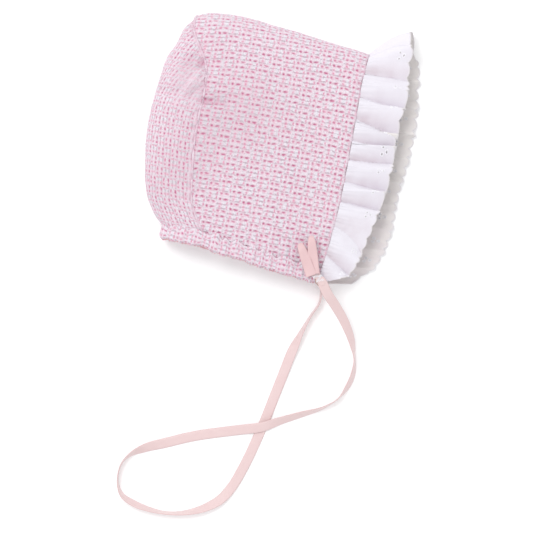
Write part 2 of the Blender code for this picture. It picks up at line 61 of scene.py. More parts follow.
def rows_of(kind: type, *rows: tuple) -> tuple:
    """A table's rows, each made one of its kind."""
    return tuple(kind(*row) for row in rows)


class Level(NamedTuple):
    """Edges of the knitted panels at one height, as shares of half girth, crown and back depth."""

    height: float
    seam_back: float
    face_lead: float
    back_bulge: float
    puff: float


LEVELS = rows_of(
    Level,
    (0.00, 0.80, -0.020, 0.85, 0.00), (0.06, 0.86, -0.010, 0.95, 0.00),
    (0.13, 0.92, 0.000, 0.97, 0.00), (0.21, 0.95, 0.006, 1.00, 0.00),
    (0.30, 0.97, 0.012, 1.02, 0.00), (0.40, 0.99, 0.011, 1.03, 0.10),
    (0.58, 1.00, 0.005, 1.01, 0.50), (0.68, 1.00, 0.000, 0.97, 1.00),
    (0.78, 1.03, -0.006, 0.82, 0.60), (0.85, 1.09, -0.011, 0.50, 0.20),
    (0.92, 1.15, -0.008, 0.23, 0.00), (0.97, 1.16, -0.003, 0.06, 0.00),
    (1.00, 1.16, 0.000, 0.00, 0.00),
)


class Station(NamedTuple):
    """One cross-section of the crown band, as shares of crown depth, half girth and loft."""

    depth: float
    fold_rise: float
    neck_rise: float
    loft: float
    neck: float
    shoulder: float


STATIONS = rows_of(
    Station,
    (0.00, 1.013, 0.051, 0.96, 0.74, 0.70), (0.07, 1.036, 0.044, 0.97, 0.74, 0.70),
    (0.16, 1.045, 0.036, 0.98, 0.73, 0.70), (0.30, 1.049, 0.033, 1.00, 0.71, 0.69),
    (0.42, 1.041, 0.024, 0.97, 0.69, 0.67), (0.55, 1.036, 0.016, 0.92, 0.66, 0.64),
    (0.75, 1.021, 0.008, 0.81, 0.62, 0.60), (1.00, 1.006, 0.000, 0.72, 0.60, 0.56),
)


class Dent(NamedTuple):
    """One soft dent or swell of the upper side."""

    depth: float
    height: float
    reach_x: float
    reach_y: float
    rise: float


DENTS = rows_of(
    Dent,
    (0.04, 0.615, 0.13, 0.028, -1.0), (0.05, 0.70, 0.09, 0.050, 0.6),
    (0.02, 0.775, 0.07, 0.022, -0.6), (0.03, 0.83, 0.08, 0.030, 0.3),
    (0.16, 0.46, 0.15, 0.110, -0.6), (0.55, 0.62, 0.20, 0.140, 0.3),
    (0.82, 0.30, 0.12, 0.130, -0.3),
)


class Frill(NamedTuple):
    """How the ruffle stands off the edge at one place from the lower corner round to the upper."""

    place: float
    flare: float
    fan: float
    reach: float


FRILLS = rows_of(
    Frill,
    (0.00, -3.0, 12.0, 0.62), (0.02, -3.0, 8.0, 0.76), (0.04, -3.0, 4.0, 0.89),
    (0.08, -3.0, 1.0, 1.03), (0.12, -3.0, 0.0, 1.09), (0.20, -3.0, 1.0, 1.09),
    (0.28, -3.0, 1.6, 1.18), (0.36, -3.0, 2.0, 1.23), (0.41, -1.0, 5.0, 1.19),
    (0.46, 4.0, 8.0, 1.08), (0.50, 38.0, 0.0, 0.93), (0.54, -2.0, -12.0, 0.86),
    (0.56, -6.0, -10.0, 0.93), (0.60, -10.5, -5.0, 0.98), (0.66, -12.0, -3.0, 0.92),
    (0.76, -14.5, -2.0, 0.93), (0.82, -14.0, -1.0, 0.87), (0.86, -13.0, 4.0, 0.80),
    (0.90, -12.0, 10.0, 0.73), (0.94, -10.0, 9.0, 0.68), (0.97, -7.0, 4.0, 0.58),
    (1.00, -4.0, -16.0, 0.45),
)


class Flute(NamedTuple):
    """The crest of one flute: lean is how far it falls over, drift its slant in turns."""

    place: float
    rise: float
    lean: float
    drift: float


FLUTES = rows_of(
    Flute,
    (0.020, 0.28, 0.1, 0.0), (0.064, 0.32, 0.1, 0.2), (0.111, 0.36, -0.1, -0.1),
    (0.160, 0.36, 0.1, 0.1), (0.212, 0.45, 0.1, 0.0), (0.261, 0.52, -0.3, -0.2),
    (0.312, 0.62, 0.2, 0.1), (0.363, 0.58, 0.3, 0.0), (0.412, 0.65, -0.2, 0.0),
    (0.458, 0.75, 0.2, 0.0), (0.494, 0.75, 0.0, 0.0), (0.529, 1.05, -0.4, -0.2),
    (0.587, 1.15, -0.8, 0.25), (0.627, 0.95, -0.9, 0.10), (0.680, 1.20, -1.1, 0.30),
    (0.716, 0.95, -0.7, -0.40), (0.762, 1.00, -0.8, -0.10), (0.806, 1.15, -1.0, 0.05),
    (0.846, 0.60, -0.4, -0.15), (0.912, 0.60, -0.3, 0.50), (0.970, 0.70, -0.3, 0.40),
)


class Crease(NamedTuple):
    """A fold of the upper side from one spot to another: rise is negative where it sinks."""

    x: float
    y: float
    to_x: float
    to_y: float
    rise: float
    reach: float


CREASES = rows_of(
    Crease,
    (-0.0572, 0.0149, -0.0408, 0.0160, -0.0016, 0.0016),
    (-0.0584, 0.0182, -0.0451, 0.0197, 0.0010, 0.0020),
    (-0.0589, 0.0271, -0.0595, 0.0134, -0.0012, 0.0013),
    (-0.0625, 0.0415, -0.0760, 0.0160, -0.0018, 0.0020),
    (-0.0653, 0.0501, -0.0756, 0.0350, -0.0008, 0.0016),
    (-0.0648, 0.0335, -0.0752, 0.0054, 0.0024, 0.0042),
    (-0.0610, 0.0240, -0.0694, 0.0127, -0.0007, 0.0013),
    (-0.0589, 0.0071, -0.0642, 0.0016, -0.0010, 0.0012),
    (-0.0586, -0.0043, -0.0636, -0.0075, -0.0009, 0.0012),
    (-0.0553, 0.0036, -0.0490, 0.0042, -0.0007, 0.0012),
    (-0.0759, 0.0693, -0.0741, 0.0575, -0.0009, 0.0014),
    (-0.0678, 0.0517, -0.0599, 0.0548, -0.0008, 0.0013),
    (-0.0600, 0.0355, -0.0535, 0.0383, -0.0008, 0.0013),
    (-0.0559, -0.0266, -0.0604, -0.0290, -0.0006, 0.0011),
    (-0.0518, -0.0458, -0.0555, -0.0487, -0.0006, 0.0011),
)


class Pool(NamedTuple):
    """A broad place on the knit, seen from above, that is painted darker as shade or paler as light
    than the rest.
    """

    x: float
    y: float
    reach: float
    depth: float


# Pools of painted shade on the knit, where the folds would keep the light out.
PAINTED_SHADE_PLACES = rows_of(
    Pool,
    (-0.0400, 0.0050, 0.034, 0.36), (-0.0600, -0.0310, 0.024, 0.28),
    (-0.0738, -0.0534, 0.018, 0.20), (-0.0180, 0.0220, 0.026, 0.14), (-0.0560, 0.0560, 0.018, 0.12),
    (-0.0700, 0.0390, 0.0075, 0.28), (-0.0753, 0.0300, 0.0080, 0.30),
)
# The swelling beside the back seam: paler as painted light, and with its dark gaps hidden.
SMOOTH_PAINTED_LIGHT_PLACES = (Pool(-0.0672, 0.0235, 0.0125, 0.85),)


class BowLoopSize(NamedTuple):
    """One loop of the bow: turn is in degrees from +X."""

    name: str
    length: float
    turn: float
    root_shift: float


BOW_LOOPS = (
    BowLoopSize("bow_loop_back", 0.0238, 122.0, 0.0030),
    BowLoopSize("bow_loop_front", 0.0262, 106.5, 0.0008),
)


class LoopSpot(NamedTuple):
    """A spot of a loop's side view, from the tack to its tip and back, as shares of its size."""

    along: float
    up: float


BOW_LOOP_OUTLINE = rows_of(
    LoopSpot,
    (0.00, 0.10), (0.30, -0.05), (0.70, 0.10), (0.93, 0.05), (1.00, 0.50), (0.90, 1.00),
    (0.60, 0.95), (0.30, 0.60), (0.00, 0.42),
)


class TackStitch(NamedTuple):
    """A row of white stitches over the tack: slant is how far it leans."""

    shift: float
    slant: float
    wide: float


TACK_STITCHES = rows_of(
    TackStitch,
    (0.0026, 0.35, 0.0027), (0.0010, -0.60, 0.0024), (-0.0008, 0.50, 0.0026),
    (-0.0026, -0.30, 0.0020),
)


class ThreadBend(NamedTuple):
    """A bend of the brown thread's end, in metres from the tack: way is towards the crown."""

    way: float
    aside: float
    up: float


THREAD_BENDS = rows_of(
    ThreadBend,
    (-0.0020, 0.0022, 0.0008), (-0.0036, 0.0031, 0.0013), (-0.0058, 0.0034, 0.0006),
    (-0.0078, 0.0026, -0.0006),
)


class Route(NamedTuple):
    """A point of the strap: lift is its middle's height, roll in degrees is 0 flat, 90 on edge."""

    x: float
    y: float
    lift: float
    roll: float


STRAP_ROUTE = rows_of(
    Route,
    (0.0556, -0.0983, 0.0250, 5), (0.0626, -0.1050, 0.0200, 12), (0.0734, -0.1172, 0.0125, 25),
    (0.0806, -0.1287, 0.0070, 50), (0.0847, -0.1394, 0.0040, 80), (0.0860, -0.1495, 0.0036, 62),
    (0.0840, -0.1601, 0.0036, 60), (0.0792, -0.1697, 0.0038, 85), (0.0714, -0.1772, 0.0037, 75),
    (0.0554, -0.1864, 0.0030, 50), (0.0424, -0.1936, 0.0028, 36), (0.0308, -0.2005, 0.0026, 12),
    (0.0161, -0.2058, 0.0014, 6), (-0.0175, -0.2182, 0.0009, 3), (-0.0339, -0.2261, 0.0012, 8),
    (-0.0470, -0.2324, 0.0025, 30), (-0.0563, -0.2394, 0.0037, 68), (-0.0606, -0.2460, 0.0038, 84),
    (-0.0616, -0.2549, 0.0038, 88), (-0.0601, -0.2618, 0.0038, 84), (-0.0559, -0.2682, 0.0036, 70),
    (-0.0471, -0.2722, 0.0034, 56), (-0.0358, -0.2741, 0.0035, 66), (-0.0234, -0.2742, 0.0037, 78),
    (-0.0096, -0.2712, 0.0035, 68), (0.0034, -0.2649, 0.0028, 42), (0.0126, -0.2573, 0.0018, 20),
    (0.0190, -0.2465, 0.0009, 5), (0.0239, -0.2318, 0.0008, 2), (0.0306, -0.2028, 0.0006, 0),
    (0.0351, -0.1764, 0.0007, 2), (0.0376, -0.1614, 0.0009, 5), (0.0404, -0.1441, 0.0018, 18),
    (0.0435, -0.1311, 0.0031, 60), (0.0477, -0.1171, 0.0037, 80), (0.0521, -0.1053, 0.0037, 82),
)


class Wire:
    """A node's output that takes Python arithmetic, each step adding a Math node."""

    def __init__(self, kit: "NodeKit", socket: NodeSocket) -> None:
        self.kit = kit
        self.socket = socket

    def __add__(self, other: "Wire | float") -> "Wire":
        """This plus other."""
        return self.kit.math("ADD", self, other)

    def __radd__(self, other: float) -> "Wire":
        """Other plus this."""
        return self.kit.math("ADD", other, self)

    def __sub__(self, other: "Wire | float") -> "Wire":
        """This minus other."""
        return self.kit.math("SUBTRACT", self, other)

    def __rsub__(self, other: float) -> "Wire":
        """Other minus this."""
        return self.kit.math("SUBTRACT", other, self)

    def __mul__(self, other: "Wire | float") -> "Wire":
        """This times other."""
        return self.kit.math("MULTIPLY", self, other)

    def __truediv__(self, other: "Wire | float") -> "Wire":
        """This over other."""
        return self.kit.math("DIVIDE", self, other)

    def __abs__(self) -> "Wire":
        """This without its sign."""
        return self.kit.math("ABSOLUTE", self)

    def __mod__(self, other: float) -> "Wire":
        """What is left of this over other, never negative."""
        return self.kit.math("FLOORED_MODULO", self, other)

    def floor(self) -> "Wire":
        """The whole number below this."""
        return self.kit.math("FLOOR", self)

    def wave(self) -> "Wire":
        """The cosine of this many turns, from 0 to 1."""
        return self.kit.math("COSINE", self * TURN) * 0.5 + 0.5

    def held(self) -> "Wire":
        """This kept between 0 and 1."""
        return self.kit.math("MINIMUM", self.kit.math("MAXIMUM", self, 0.0), 1.0)

    def most(self, other: "Wire | float") -> "Wire":
        """The greater of this and other."""
        return self.kit.math("MAXIMUM", self, other)


class NodeKit:
    """Adds nodes to one shader or geometry tree and links them."""

    def __init__(self, tree: NodeTree) -> None:
        """Keeps the tree that the nodes go in."""
        self.tree = tree

    def node(self, kind: str, settings: dict | None = None, inputs: dict | None = None) -> Node:
        """Adds a node.

        Args:
            kind: The node's type.
            settings: Values of the node's own properties, set first.
            inputs: A value or wire for each input, by name or number.

        Returns:
            The node.
        """
        made = self.tree.nodes.new(kind)
        for name, value in (settings or {}).items():
            setattr(made, name, value)
        self.feed(made, inputs or {})
        return made

    def feed(self, node: Node, inputs: dict) -> None:
        """Links or sets inputs of a node.

        Args:
            node: The node.
            inputs: A value or wire for each input, by name or number.
        """
        for key, value in inputs.items():
            if isinstance(value, Wire):
                self.tree.links.new(value.socket, node.inputs[key])
            else:
                node.inputs[key].default_value = value

    def dress(self, inputs: dict) -> None:
        """Links or sets inputs of the material's Principled shader."""
        self.feed(self.tree.nodes["Principled BSDF"], inputs)

    def out(self, node: Node, key: str | int = 0) -> Wire:
        """One output of a node as a wire."""
        return Wire(self, node.outputs[key])

    def math(self, operation: str, first: "Wire | float", second: "Wire | float" = 0.0) -> Wire:
        """The result of a Math node's operation on one value or two."""
        made = self.node("ShaderNodeMath", {"operation": operation}, {0: first, 1: second})
        return self.out(made)

    def blend(self, share: "Wire | float", first: "Wire | tuple", second: "Wire | tuple") -> Wire:
        """Mixes two colours.

        Args:
            share: How much of the second shows.
            first: The first colour.
            second: The second colour.

        Returns:
            The mixed colour.
        """
        first = first if isinstance(first, Wire) else (*first, 1)
        second = second if isinstance(second, Wire) else (*second, 1)
        mix = self.node("ShaderNodeMix", {"data_type": "RGBA"}, {0: share, 6: first, 7: second})
        return self.out(mix, 2)

    def stored(self, name: str) -> Wire:
        """A number that is stored at the mesh's points."""
        return self.out(self.node("ShaderNodeAttribute", {"attribute_name": name}), "Fac")

    def bump(self, depth: float, height: Wire) -> Wire:
        """The normals of a surface that height raises by up to a depth in metres."""
        return self.out(self.node("ShaderNodeBump", None, {"Distance": depth, "Height": height}))

    def noise(self, place: "Wire", scale: float, detail: float = 2.0) -> Wire:
        """Smooth noise from 0 to 1 at a place, by its waves to a metre and its finer layers."""
        inputs = {"Vector": place, "Scale": scale, "Detail": detail}
        return self.out(self.node("ShaderNodeTexNoise", None, inputs))

    def along_cloth(self) -> tuple[Wire, Wire, Wire]:
        """Reads the piece's own map.

        Returns:
            The map's place in metres, as a vector and as its two numbers.
        """
        place = self.out(self.node("ShaderNodeUVMap", {"uv_map": "UVMap"}))
        parts = self.node("ShaderNodeSeparateXYZ", None, {0: place})
        return place, self.out(parts, 0), self.out(parts, 1)


def new_material(name: str) -> tuple[Material, NodeKit]:
    """A material with a Principled shader.

    Args:
        name: Its name.
    """
    material = bpy.data.materials.new(name)
    material.use_nodes = True
    return material, NodeKit(material.node_tree)


def squared(distance: Wire, reach: float) -> Wire:
    """The square of a distance over its reach."""
    share = distance / reach
    return share * share


def stripe(distance: Wire, reach: float) -> Wire:
    """A soft-edged stripe: 1 along its middle, 0 from its reach on."""
    return (1 - squared(distance, reach)).held()


class Fleck(NamedTuple):
    """A soft-edged fleck of a block, in shares of the block: place is its middle across it."""

    place: float
    half_width: float
    half_height: float

    def seen(self, across: Wire, away: Wire) -> Wire:
        """How much of the fleck shows: 1 in its middle, 0 outside its ellipse.

        Args:
            across: The place across the block.
            away: How far up or down from the fleck's middle.

        Returns:
            The share that shows.
        """
        share = 1 - squared(across - self.place, self.half_width) - squared(away, self.half_height)
        share = share.held()
        return share * share


def eased(start: tuple, end: tuple, step: Array, t: Array) -> Array:
    """A smooth curve between two values.

    Args:
        start: The first value and the slope there.
        end: The second value and the slope there.
        step: How far the two lie apart.
        t: The shares of the way between them.

    Returns:
        The curve's values.
    """
    (first, slope), (second, last_slope) = start, end
    rising = first * (1 + 2 * t) * (1 - t) ** 2 + slope * step * t * (1 - t) ** 2
    return rising + (second * t * t * (3 - 2 * t) + last_slope * step * t * t * (t - 1))


class Column:
    """A smooth function through one column of a table, read along another."""

    def __init__(self, rows: tuple, along: str, column: str) -> None:
        """Takes the two columns out of the table.

        Args:
            rows: The table.
            along: The column that is read along, in rising order.
            column: The column of values.
        """
        self.places = np.array([getattr(row, along) for row in rows], float)
        self.values = np.array([getattr(row, column) for row in rows], float)
        self.slopes = np.gradient(self.values, self.places)

    def __call__(self, place: Array) -> Array:
        """Reads the column.

        Args:
            place: The places.

        Returns:
            The column's value at each place.
        """
        last = len(self.places) - 2
        i = np.clip(np.searchsorted(self.places, place) - 1, 0, last)
        step = self.places[i + 1] - self.places[i]
        t = np.clip((place - self.places[i]) / step, 0, 1)
        start, end = ((self.values[k], self.slopes[k]) for k in (i, i + 1))
        return eased(start, end, step, t)


def unit_rows(rows: Array) -> Array:
    """Vectors along the last axis, each made one long."""
    return rows / np.maximum(np.linalg.norm(rows, axis=-1, keepdims=True), 1e-12)


def walked(line: Array) -> Array:
    """How far along a line of points each point lies."""
    return np.concatenate([[0], np.cumsum(np.linalg.norm(np.diff(line, axis=0), axis=1))])


def resampled(line: Array, count: int) -> Array:
    """Points an even distance apart along a line.

    Args:
        line: The line's points, with any further columns after x, y and z.
        count: How many points are wanted.

    Returns:
        The points, with the same columns.
    """
    gone = walked(line[:, :3])
    places = np.linspace(0, gone[-1], count)
    return np.stack([np.interp(places, gone, values) for values in line.T], axis=1)


def smooth_line(rows: Array, count: int, fineness: int = 12) -> Array:
    """Even points along one smooth curve through some rows.

    Args:
        rows: The rows, x, y and z first.
        count: How many points are wanted.
        fineness: Steps between two rows while the curve is measured.

    Returns:
        The points, with the rows' columns.
    """
    gone = walked(rows[:, :3])
    knots = list(zip(rows, np.gradient(rows, gone, axis=0)))
    t = np.linspace(0, 1, fineness, endpoint=False)[:, None]
    fine = [eased(*knots[i : i + 2], step, t) for i, step in enumerate(np.diff(gone))]
    return resampled(np.vstack([*fine, rows[-1:]]), count)


def grid_normals(grid: Array) -> Array:
    """Unit normals of a grid of points, by its rows and columns."""
    down, across = np.gradient(grid, axis=0), np.gradient(grid, axis=1)
    return unit_rows(np.cross(down, across))


def grid_faces(rows: int, columns: int, closed: bool = False) -> Array:
    """Four-cornered faces of a grid of points.

    Args:
        rows: Rows of points.
        columns: Points in a row.
        closed: True where the last column joins the first.

    Returns:
        The faces' point numbers.
    """
    ids = np.arange(rows * columns).reshape(rows, columns)
    if closed:
        ids = np.hstack([ids, ids[:, :1]])
    corners = (ids[:-1, :-1], ids[1:, :-1], ids[1:, 1:], ids[:-1, 1:])
    return np.stack(corners, axis=-1).reshape(-1, 4)


def tube_faces(rows: int, sides: int) -> list:
    """Faces of a closed tube of some rows of points round it: its skin and its two end caps."""
    caps = [list(range(sides)), list(range((rows - 1) * sides, rows * sides))]
    return grid_faces(rows, sides, closed=True).tolist() + caps


def mesh_of(name: str, points: Array, faces: list, cloth: Array | None = None) -> Mesh:
    """A smooth-shaded mesh.

    Args:
        name: Its name.
        points: Its points.
        faces: Its faces.
        cloth: Each point's place on the cloth in metres, kept as the mesh's own map.

    Returns:
        The mesh.
    """
    mesh = bpy.data.meshes.new(name)
    mesh.from_pydata(points.reshape(-1, 3).tolist(), [], [tuple(face) for face in faces])
    if cloth is not None:
        corners = np.empty(len(mesh.loops), np.int32)
        mesh.loops.foreach_get("vertex_index", corners)
        places = cloth.reshape(-1, 2)[corners].ravel()
        mesh.uv_layers.new(name="UVMap").data.foreach_set("uv", places)
    mesh.shade_smooth()
    return mesh


def add_column(mesh: Mesh, name: str, values: Array) -> None:
    """Stores a number or a vector for each point of a mesh.

    Args:
        mesh: The mesh.
        name: The attribute's name.
        values: A value for each point.
    """
    kind, field_name = ("FLOAT", "value") if values.ndim == 1 else ("FLOAT_VECTOR", "vector")
    attribute = mesh.attributes.new(name, kind, "POINT")
    attribute.data.foreach_set(field_name, values.astype(np.float32).ravel())


def object_of(name: str, data: ID) -> Object:
    """A new object in the scene.

    Args:
        name: Its name.
        data: What it shows.

    Returns:
        The object.
    """
    made = bpy.data.objects.new(name, data)
    bpy.context.scene.collection.objects.link(made)
    return made


def point_outwards(mesh: Mesh) -> None:
    """Turns the faces of a closed mesh outwards.

    Args:
        mesh: The mesh.
    """
    shell = bmesh.new()
    shell.from_mesh(mesh)
    bmesh.ops.recalc_face_normals(shell, faces=shell.faces)
    if shell.calc_volume(signed=True) < 0:
        bmesh.ops.reverse_faces(shell, faces=shell.faces)
    shell.to_mesh(mesh)
    shell.free()


def as_plain_mesh(obj: Object) -> Object:
    """Turns what an object's modifiers make into its own plain mesh, and removes them.

    Args:
        obj: The object.

    Returns:
        The object.
    """
    graph = bpy.context.evaluated_depsgraph_get()
    made = bpy.data.meshes.new_from_object(obj.evaluated_get(graph), depsgraph=graph)
    made.name = obj.name
    obj.modifiers.clear()
    obj.data = made
    return obj


def kept_on_body(obj: Object, slot: str, *nodes: str) -> Object:
    """Makes a finished piece ride on the bonnet.

    Args:
        obj: The piece.
        slot: Not used.
        nodes: The frame's nodes that it stands for.

    Returns:
        The piece.
    """
    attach(obj, BODY)
    if nodes:
        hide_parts(*nodes)
    LOG.info("%s: %d faces", obj.name, len(obj.data.polygons))
    return obj


def finished(mesh: Mesh, material: Material, slot: str, *nodes: str) -> Object:
    """Makes a closed mesh a piece of its name, with the nodes it stands for."""
    mesh.materials.append(material)
    return kept_on_body(object_of(mesh.name, mesh), slot, *nodes)


class Chart(NamedTuple):
    """What the block knit shows at a place: gaps, blush, fine threads, height, ribbed blocks."""

    gap: Wire
    blush: Wire
    threads: Wire
    rise: Wire
    ribbed: Wire


@dataclass(frozen=True)
class BlockKnit:
    """The bonnet's cloth: blocks of plump white bars over rose gaps, and finely ribbed blocks."""

    width: float = 0.00828
    height: float = 0.00622
    row: float = 0.312
    round_gap: Fleck = Fleck(-0.26, 0.165, 0.195)
    round_halo: Fleck = Fleck(-0.26, 0.30, 0.42)
    long_gap: Fleck = Fleck(0.18, 0.29, 0.15)
    long_halo: Fleck = Fleck(0.18, 0.42, 0.36)
    closing: float = 0.13
    groove: float = 0.17
    dot: Fleck = Fleck(-0.20, 0.145, 0.19)
    dot_row: float = 0.175
    dot_stripe: float = 0.26
    mark: Fleck = Fleck(0.385, 0.115, 0.25)
    mark_row: float = 0.055
    mark_gap: float = 0.245
    mark_stripe: float = 0.17
    waver: float = 0.15
    waver_scale: float = 95.0
    jitter: float = 0.15
    jitter_scale: float = 430.0
    threads: float = 2.0

    def chart(self, kit: NodeKit, place: Wire, u: Wire, v: Wire) -> Chart:
        """Works out the knit with Math nodes, the same ones for its colour and for its shape.

        Args:
            place: The place on the cloth as a vector.
            u: The place along the rows, in metres.
            v: The place across the rows, in metres.

        Returns:
            The chart at that place.
        """
        sway = (kit.noise(place, self.waver_scale) - 0.5) * self.waver
        jitter = (kit.noise(place, self.jitter_scale, 1.0) - 0.5) * self.jitter
        across = u / self.width + sway + jitter
        up = v / self.height + sway * 0.7 - jitter
        column, row = across.floor(), up.floor()
        ribbed = (column + row) % 2.0
        block = 1 - ribbed
        cell = kit.node("ShaderNodeCombineXYZ", None, {0: column, 1: row})
        luck = kit.out(kit.node("ShaderNodeTexWhiteNoise", None, {"Vector": kit.out(cell)}))
        s, t = across - column - 0.5, up - row - 0.5
        from_row = abs(t) - self.row
        closing = from_row + (s - self.long_gap.place) * self.closing
        gap = self.round_gap.seen(s, from_row).most(self.long_gap.seen(s, closing)) * block
        halo = self.round_halo.seen(s, from_row).most(self.long_halo.seen(s, closing)) * block
        dot = self.dot.seen(s, abs(t) - self.dot_row)
        mark = self.mark.seen(s, abs(t - self.mark_row) - self.mark_gap)
        flecks = dot.most(mark) * ribbed
        stripes = stripe(s - self.mark.place, self.mark_stripe) * 0.7
        stripes = stripes.most(stripe(s - self.dot.place, self.dot_stripe))
        blush = (flecks * 0.8).most(halo * 0.50).most(stripes * 0.27)
        threads = (up * self.threads + 0.25).wave()
        rise = block * (1 - gap * 0.75 - stripe(from_row, self.groove) * 0.22)
        rise = rise + ribbed * (0.80 - threads * 0.12) - flecks * 0.2
        dark = gap * (0.90 - t * 0.45) * (luck * 0.24 + 0.78) + flecks * (luck * 0.25 + 0.36)
        return Chart(dark, blush, threads, rise, ribbed)


@dataclass(frozen=True)
class KnitFinish:
    """Brushed cotton knit in lilac white and pink, rosier where its stored tint says so, with
    painted shade, light and glints.
    """

    name: str = "pink_knit"
    white: tuple = (0.672, 0.650, 0.704)
    # The white of painted glints on the fibres.
    painted_glint: tuple = (0.86, 0.825, 0.875)
    blush: tuple = (0.82, 0.42, 0.53)
    rose: tuple = (0.55, 0.17, 0.30)
    shade: tuple = (0.46, 0.37, 0.43)
    # The colour of the painted shade in the pools.
    dusk: tuple = (0.50, 0.44, 0.48)
    bump_depth: float = 0.00024
    cloth: BlockKnit = BlockKnit()

    def material(self) -> Material:
        """Builds the finish.

        Returns:
            Its material.
        """
        material, kit = new_material(self.name)
        place, u, v = kit.along_cloth()
        chart = self.cloth.chart(kit, place, u, v)
        pale = kit.stored("pale")
        patches, mottle = kit.noise(place, 42.0, 2.0), kit.noise(place, 260.0, 3.0)
        speckle, grain = kit.noise(place, 520.0, 1.5), kit.noise(place, 1100.0, 1.0)
        fuzz = kit.noise(place, 2600.0, 3.0)
        between = (1 - chart.threads) * (1 - chart.threads) * (chart.ribbed * 0.56 + 0.56)
        between = between * (mottle * 2.2 - 0.1) + (speckle - 0.58) * 1.8 + (grain - 0.58) * 1.1
        blush = chart.blush * (mottle * 0.5 + speckle + 0.35) + (patches + mottle - 0.84) * 0.2
        gap = chart.gap * (speckle + 0.60) * (1 - pale)
        # Fine specks of brighter white: painted glints where the fibres catch the light.
        colour = kit.blend(((0.56 - grain) * 3.0).held(), self.white, self.painted_glint)
        for share, laid_over in (
            (between.held(), self.shade),
            # Painted shade in the pools.
            ((kit.stored("dusk") * 1.15).held(), self.dusk),
            (blush.held(), self.blush),
            (gap.held(), self.rose),
            # The pale strips beside the seams, and painted light on the swelling.
            (pale * 0.55, self.pale_strip()),
            # The rose of the seams and stitches, with rose painted into the creases as shade.
            (kit.stored("tint").held(), self.rose),
        ):
            colour = kit.blend(share, colour, laid_over)
        height = chart.threads * 0.45 + fuzz * 0.65 + chart.rise * 0.9
        kit.dress(
            {
                "Base Color": colour,
                "Roughness": mottle * 0.12 + 0.82,
                "Normal": kit.bump(self.bump_depth, height),
                "Sheen Weight": 0.15,
                "Sheen Roughness": 0.6,
                "Specular IOR Level": 0.2,
            }
        )
        return material

    def pale_strip(self) -> tuple:
        """The colour of the strips beside the seams, also laid as painted light on the swelling
        beside the back seam.
        """
        return tuple(0.7 * white + 0.3 * blush for white, blush in zip(self.white, self.blush))


@dataclass(frozen=True)
class CottonFinish:
    """Fine white lawn: clear on its right side, greyer and warmer on its wrong side as painted
    shade, with painted shade on its flutes.
    """

    name: str = "white_cotton"
    right_side: tuple = (0.81, 0.785, 0.845)
    # The wrong side's greyer, warmer colour is painted shade, for the far ruffle lying under the
    # near one.
    wrong_side: tuple = (0.835, 0.80, 0.78)
    cloud: tuple = (0.66, 0.60, 0.66)
    # The colour of painted shade on the flutes' shaded sides and on the far ruffle's lower end.
    hollow: tuple = (0.60, 0.50, 0.55)
    weave: tuple = (0.55, 0.52, 0.58)
    thread_pitch: float = 0.00034
    bump_depth: float = 0.00005

    def material(self) -> Material:
        """Builds the finish.

        Returns:
            Its material.
        """
        material, kit = new_material(self.name)
        place, u, v = kit.along_cloth()
        cloudy, slubs = kit.noise(place, 90.0, 3.0), kit.noise(place, 1400.0, 2.0)
        weave = (u / self.thread_pitch).wave() * (v / self.thread_pitch).wave()
        # The wrong side takes its painted shade colour.
        colour = kit.blend(kit.stored("wrong_side"), self.right_side, self.wrong_side)
        for share, laid_over in (
            (((cloudy - 0.40) * 0.5).held(), self.cloud),
            # Painted shade on the flutes' shaded sides and on the far ruffle's lower end.
            ((kit.stored("hollow") * (cloudy + 0.15)).held(), self.hollow),
            (weave * 0.08, self.weave),
        ):
            colour = kit.blend(share, colour, laid_over)
        kit.dress(
            {
                "Base Color": colour,
                "Roughness": slubs * 0.1 + 0.8,
                "Normal": kit.bump(self.bump_depth, weave * 0.8 + slubs * 0.6),
                "Sheen Weight": 0.15,
                "Specular IOR Level": 0.3,
            }
        )
        return material


@dataclass(frozen=True)
class SatinFinish:
    """Salmon satin ribbon with fine cross threads and a firmer woven edge."""

    name: str = "salmon_satin"
    face: tuple = (0.755, 0.575, 0.57)
    deep: tuple = (0.66, 0.43, 0.43)
    # The colour of painted sheen, laid in random clouds.
    painted_sheen: tuple = (0.80, 0.665, 0.655)
    thread_pitch: float = 0.00030
    bump_depth: float = 0.00004
    half_width: float = 0.0035
    edge: float = 0.00045

    def material(self) -> Material:
        """Builds the finish.

        Returns:
            Its material.
        """
        material, kit = new_material(self.name)
        place, u, v = kit.along_cloth()
        cloudy = kit.noise(place, 120.0, 3.0)
        weft = (u / self.thread_pitch).wave()
        warp = (v / (self.thread_pitch * 0.7)).wave()
        from_edge = (self.half_width - abs(v)) / self.edge
        edge = (1 - from_edge).held()
        # Painted sheen in random clouds over the face colour.
        colour = kit.blend((cloudy - 0.4) * 0.7, self.face, self.painted_sheen)
        colour = kit.blend(edge * 0.45 + warp * 0.10, colour, self.deep)
        kit.dress(
            {
                "Base Color": colour,
                "Roughness": cloudy * 0.10 + edge * 0.2 + 0.33,
                "Normal": kit.bump(self.bump_depth, weft * 0.5 + warp * 0.35 + edge * 1.4),
                "Sheen Weight": 0.3,
                "Specular IOR Level": 0.45,
            }
        )
        return material


# A darker, pinker copy of the satin for the bow's loops: painted shade, for the thin loops letting
# the pink knit show through.
SHADED_LOOP_SATIN = SatinFinish(
    "bow_satin", face=(0.725, 0.50, 0.51), deep=(0.62, 0.38, 0.39), painted_sheen=(0.77, 0.59, 0.60)
)


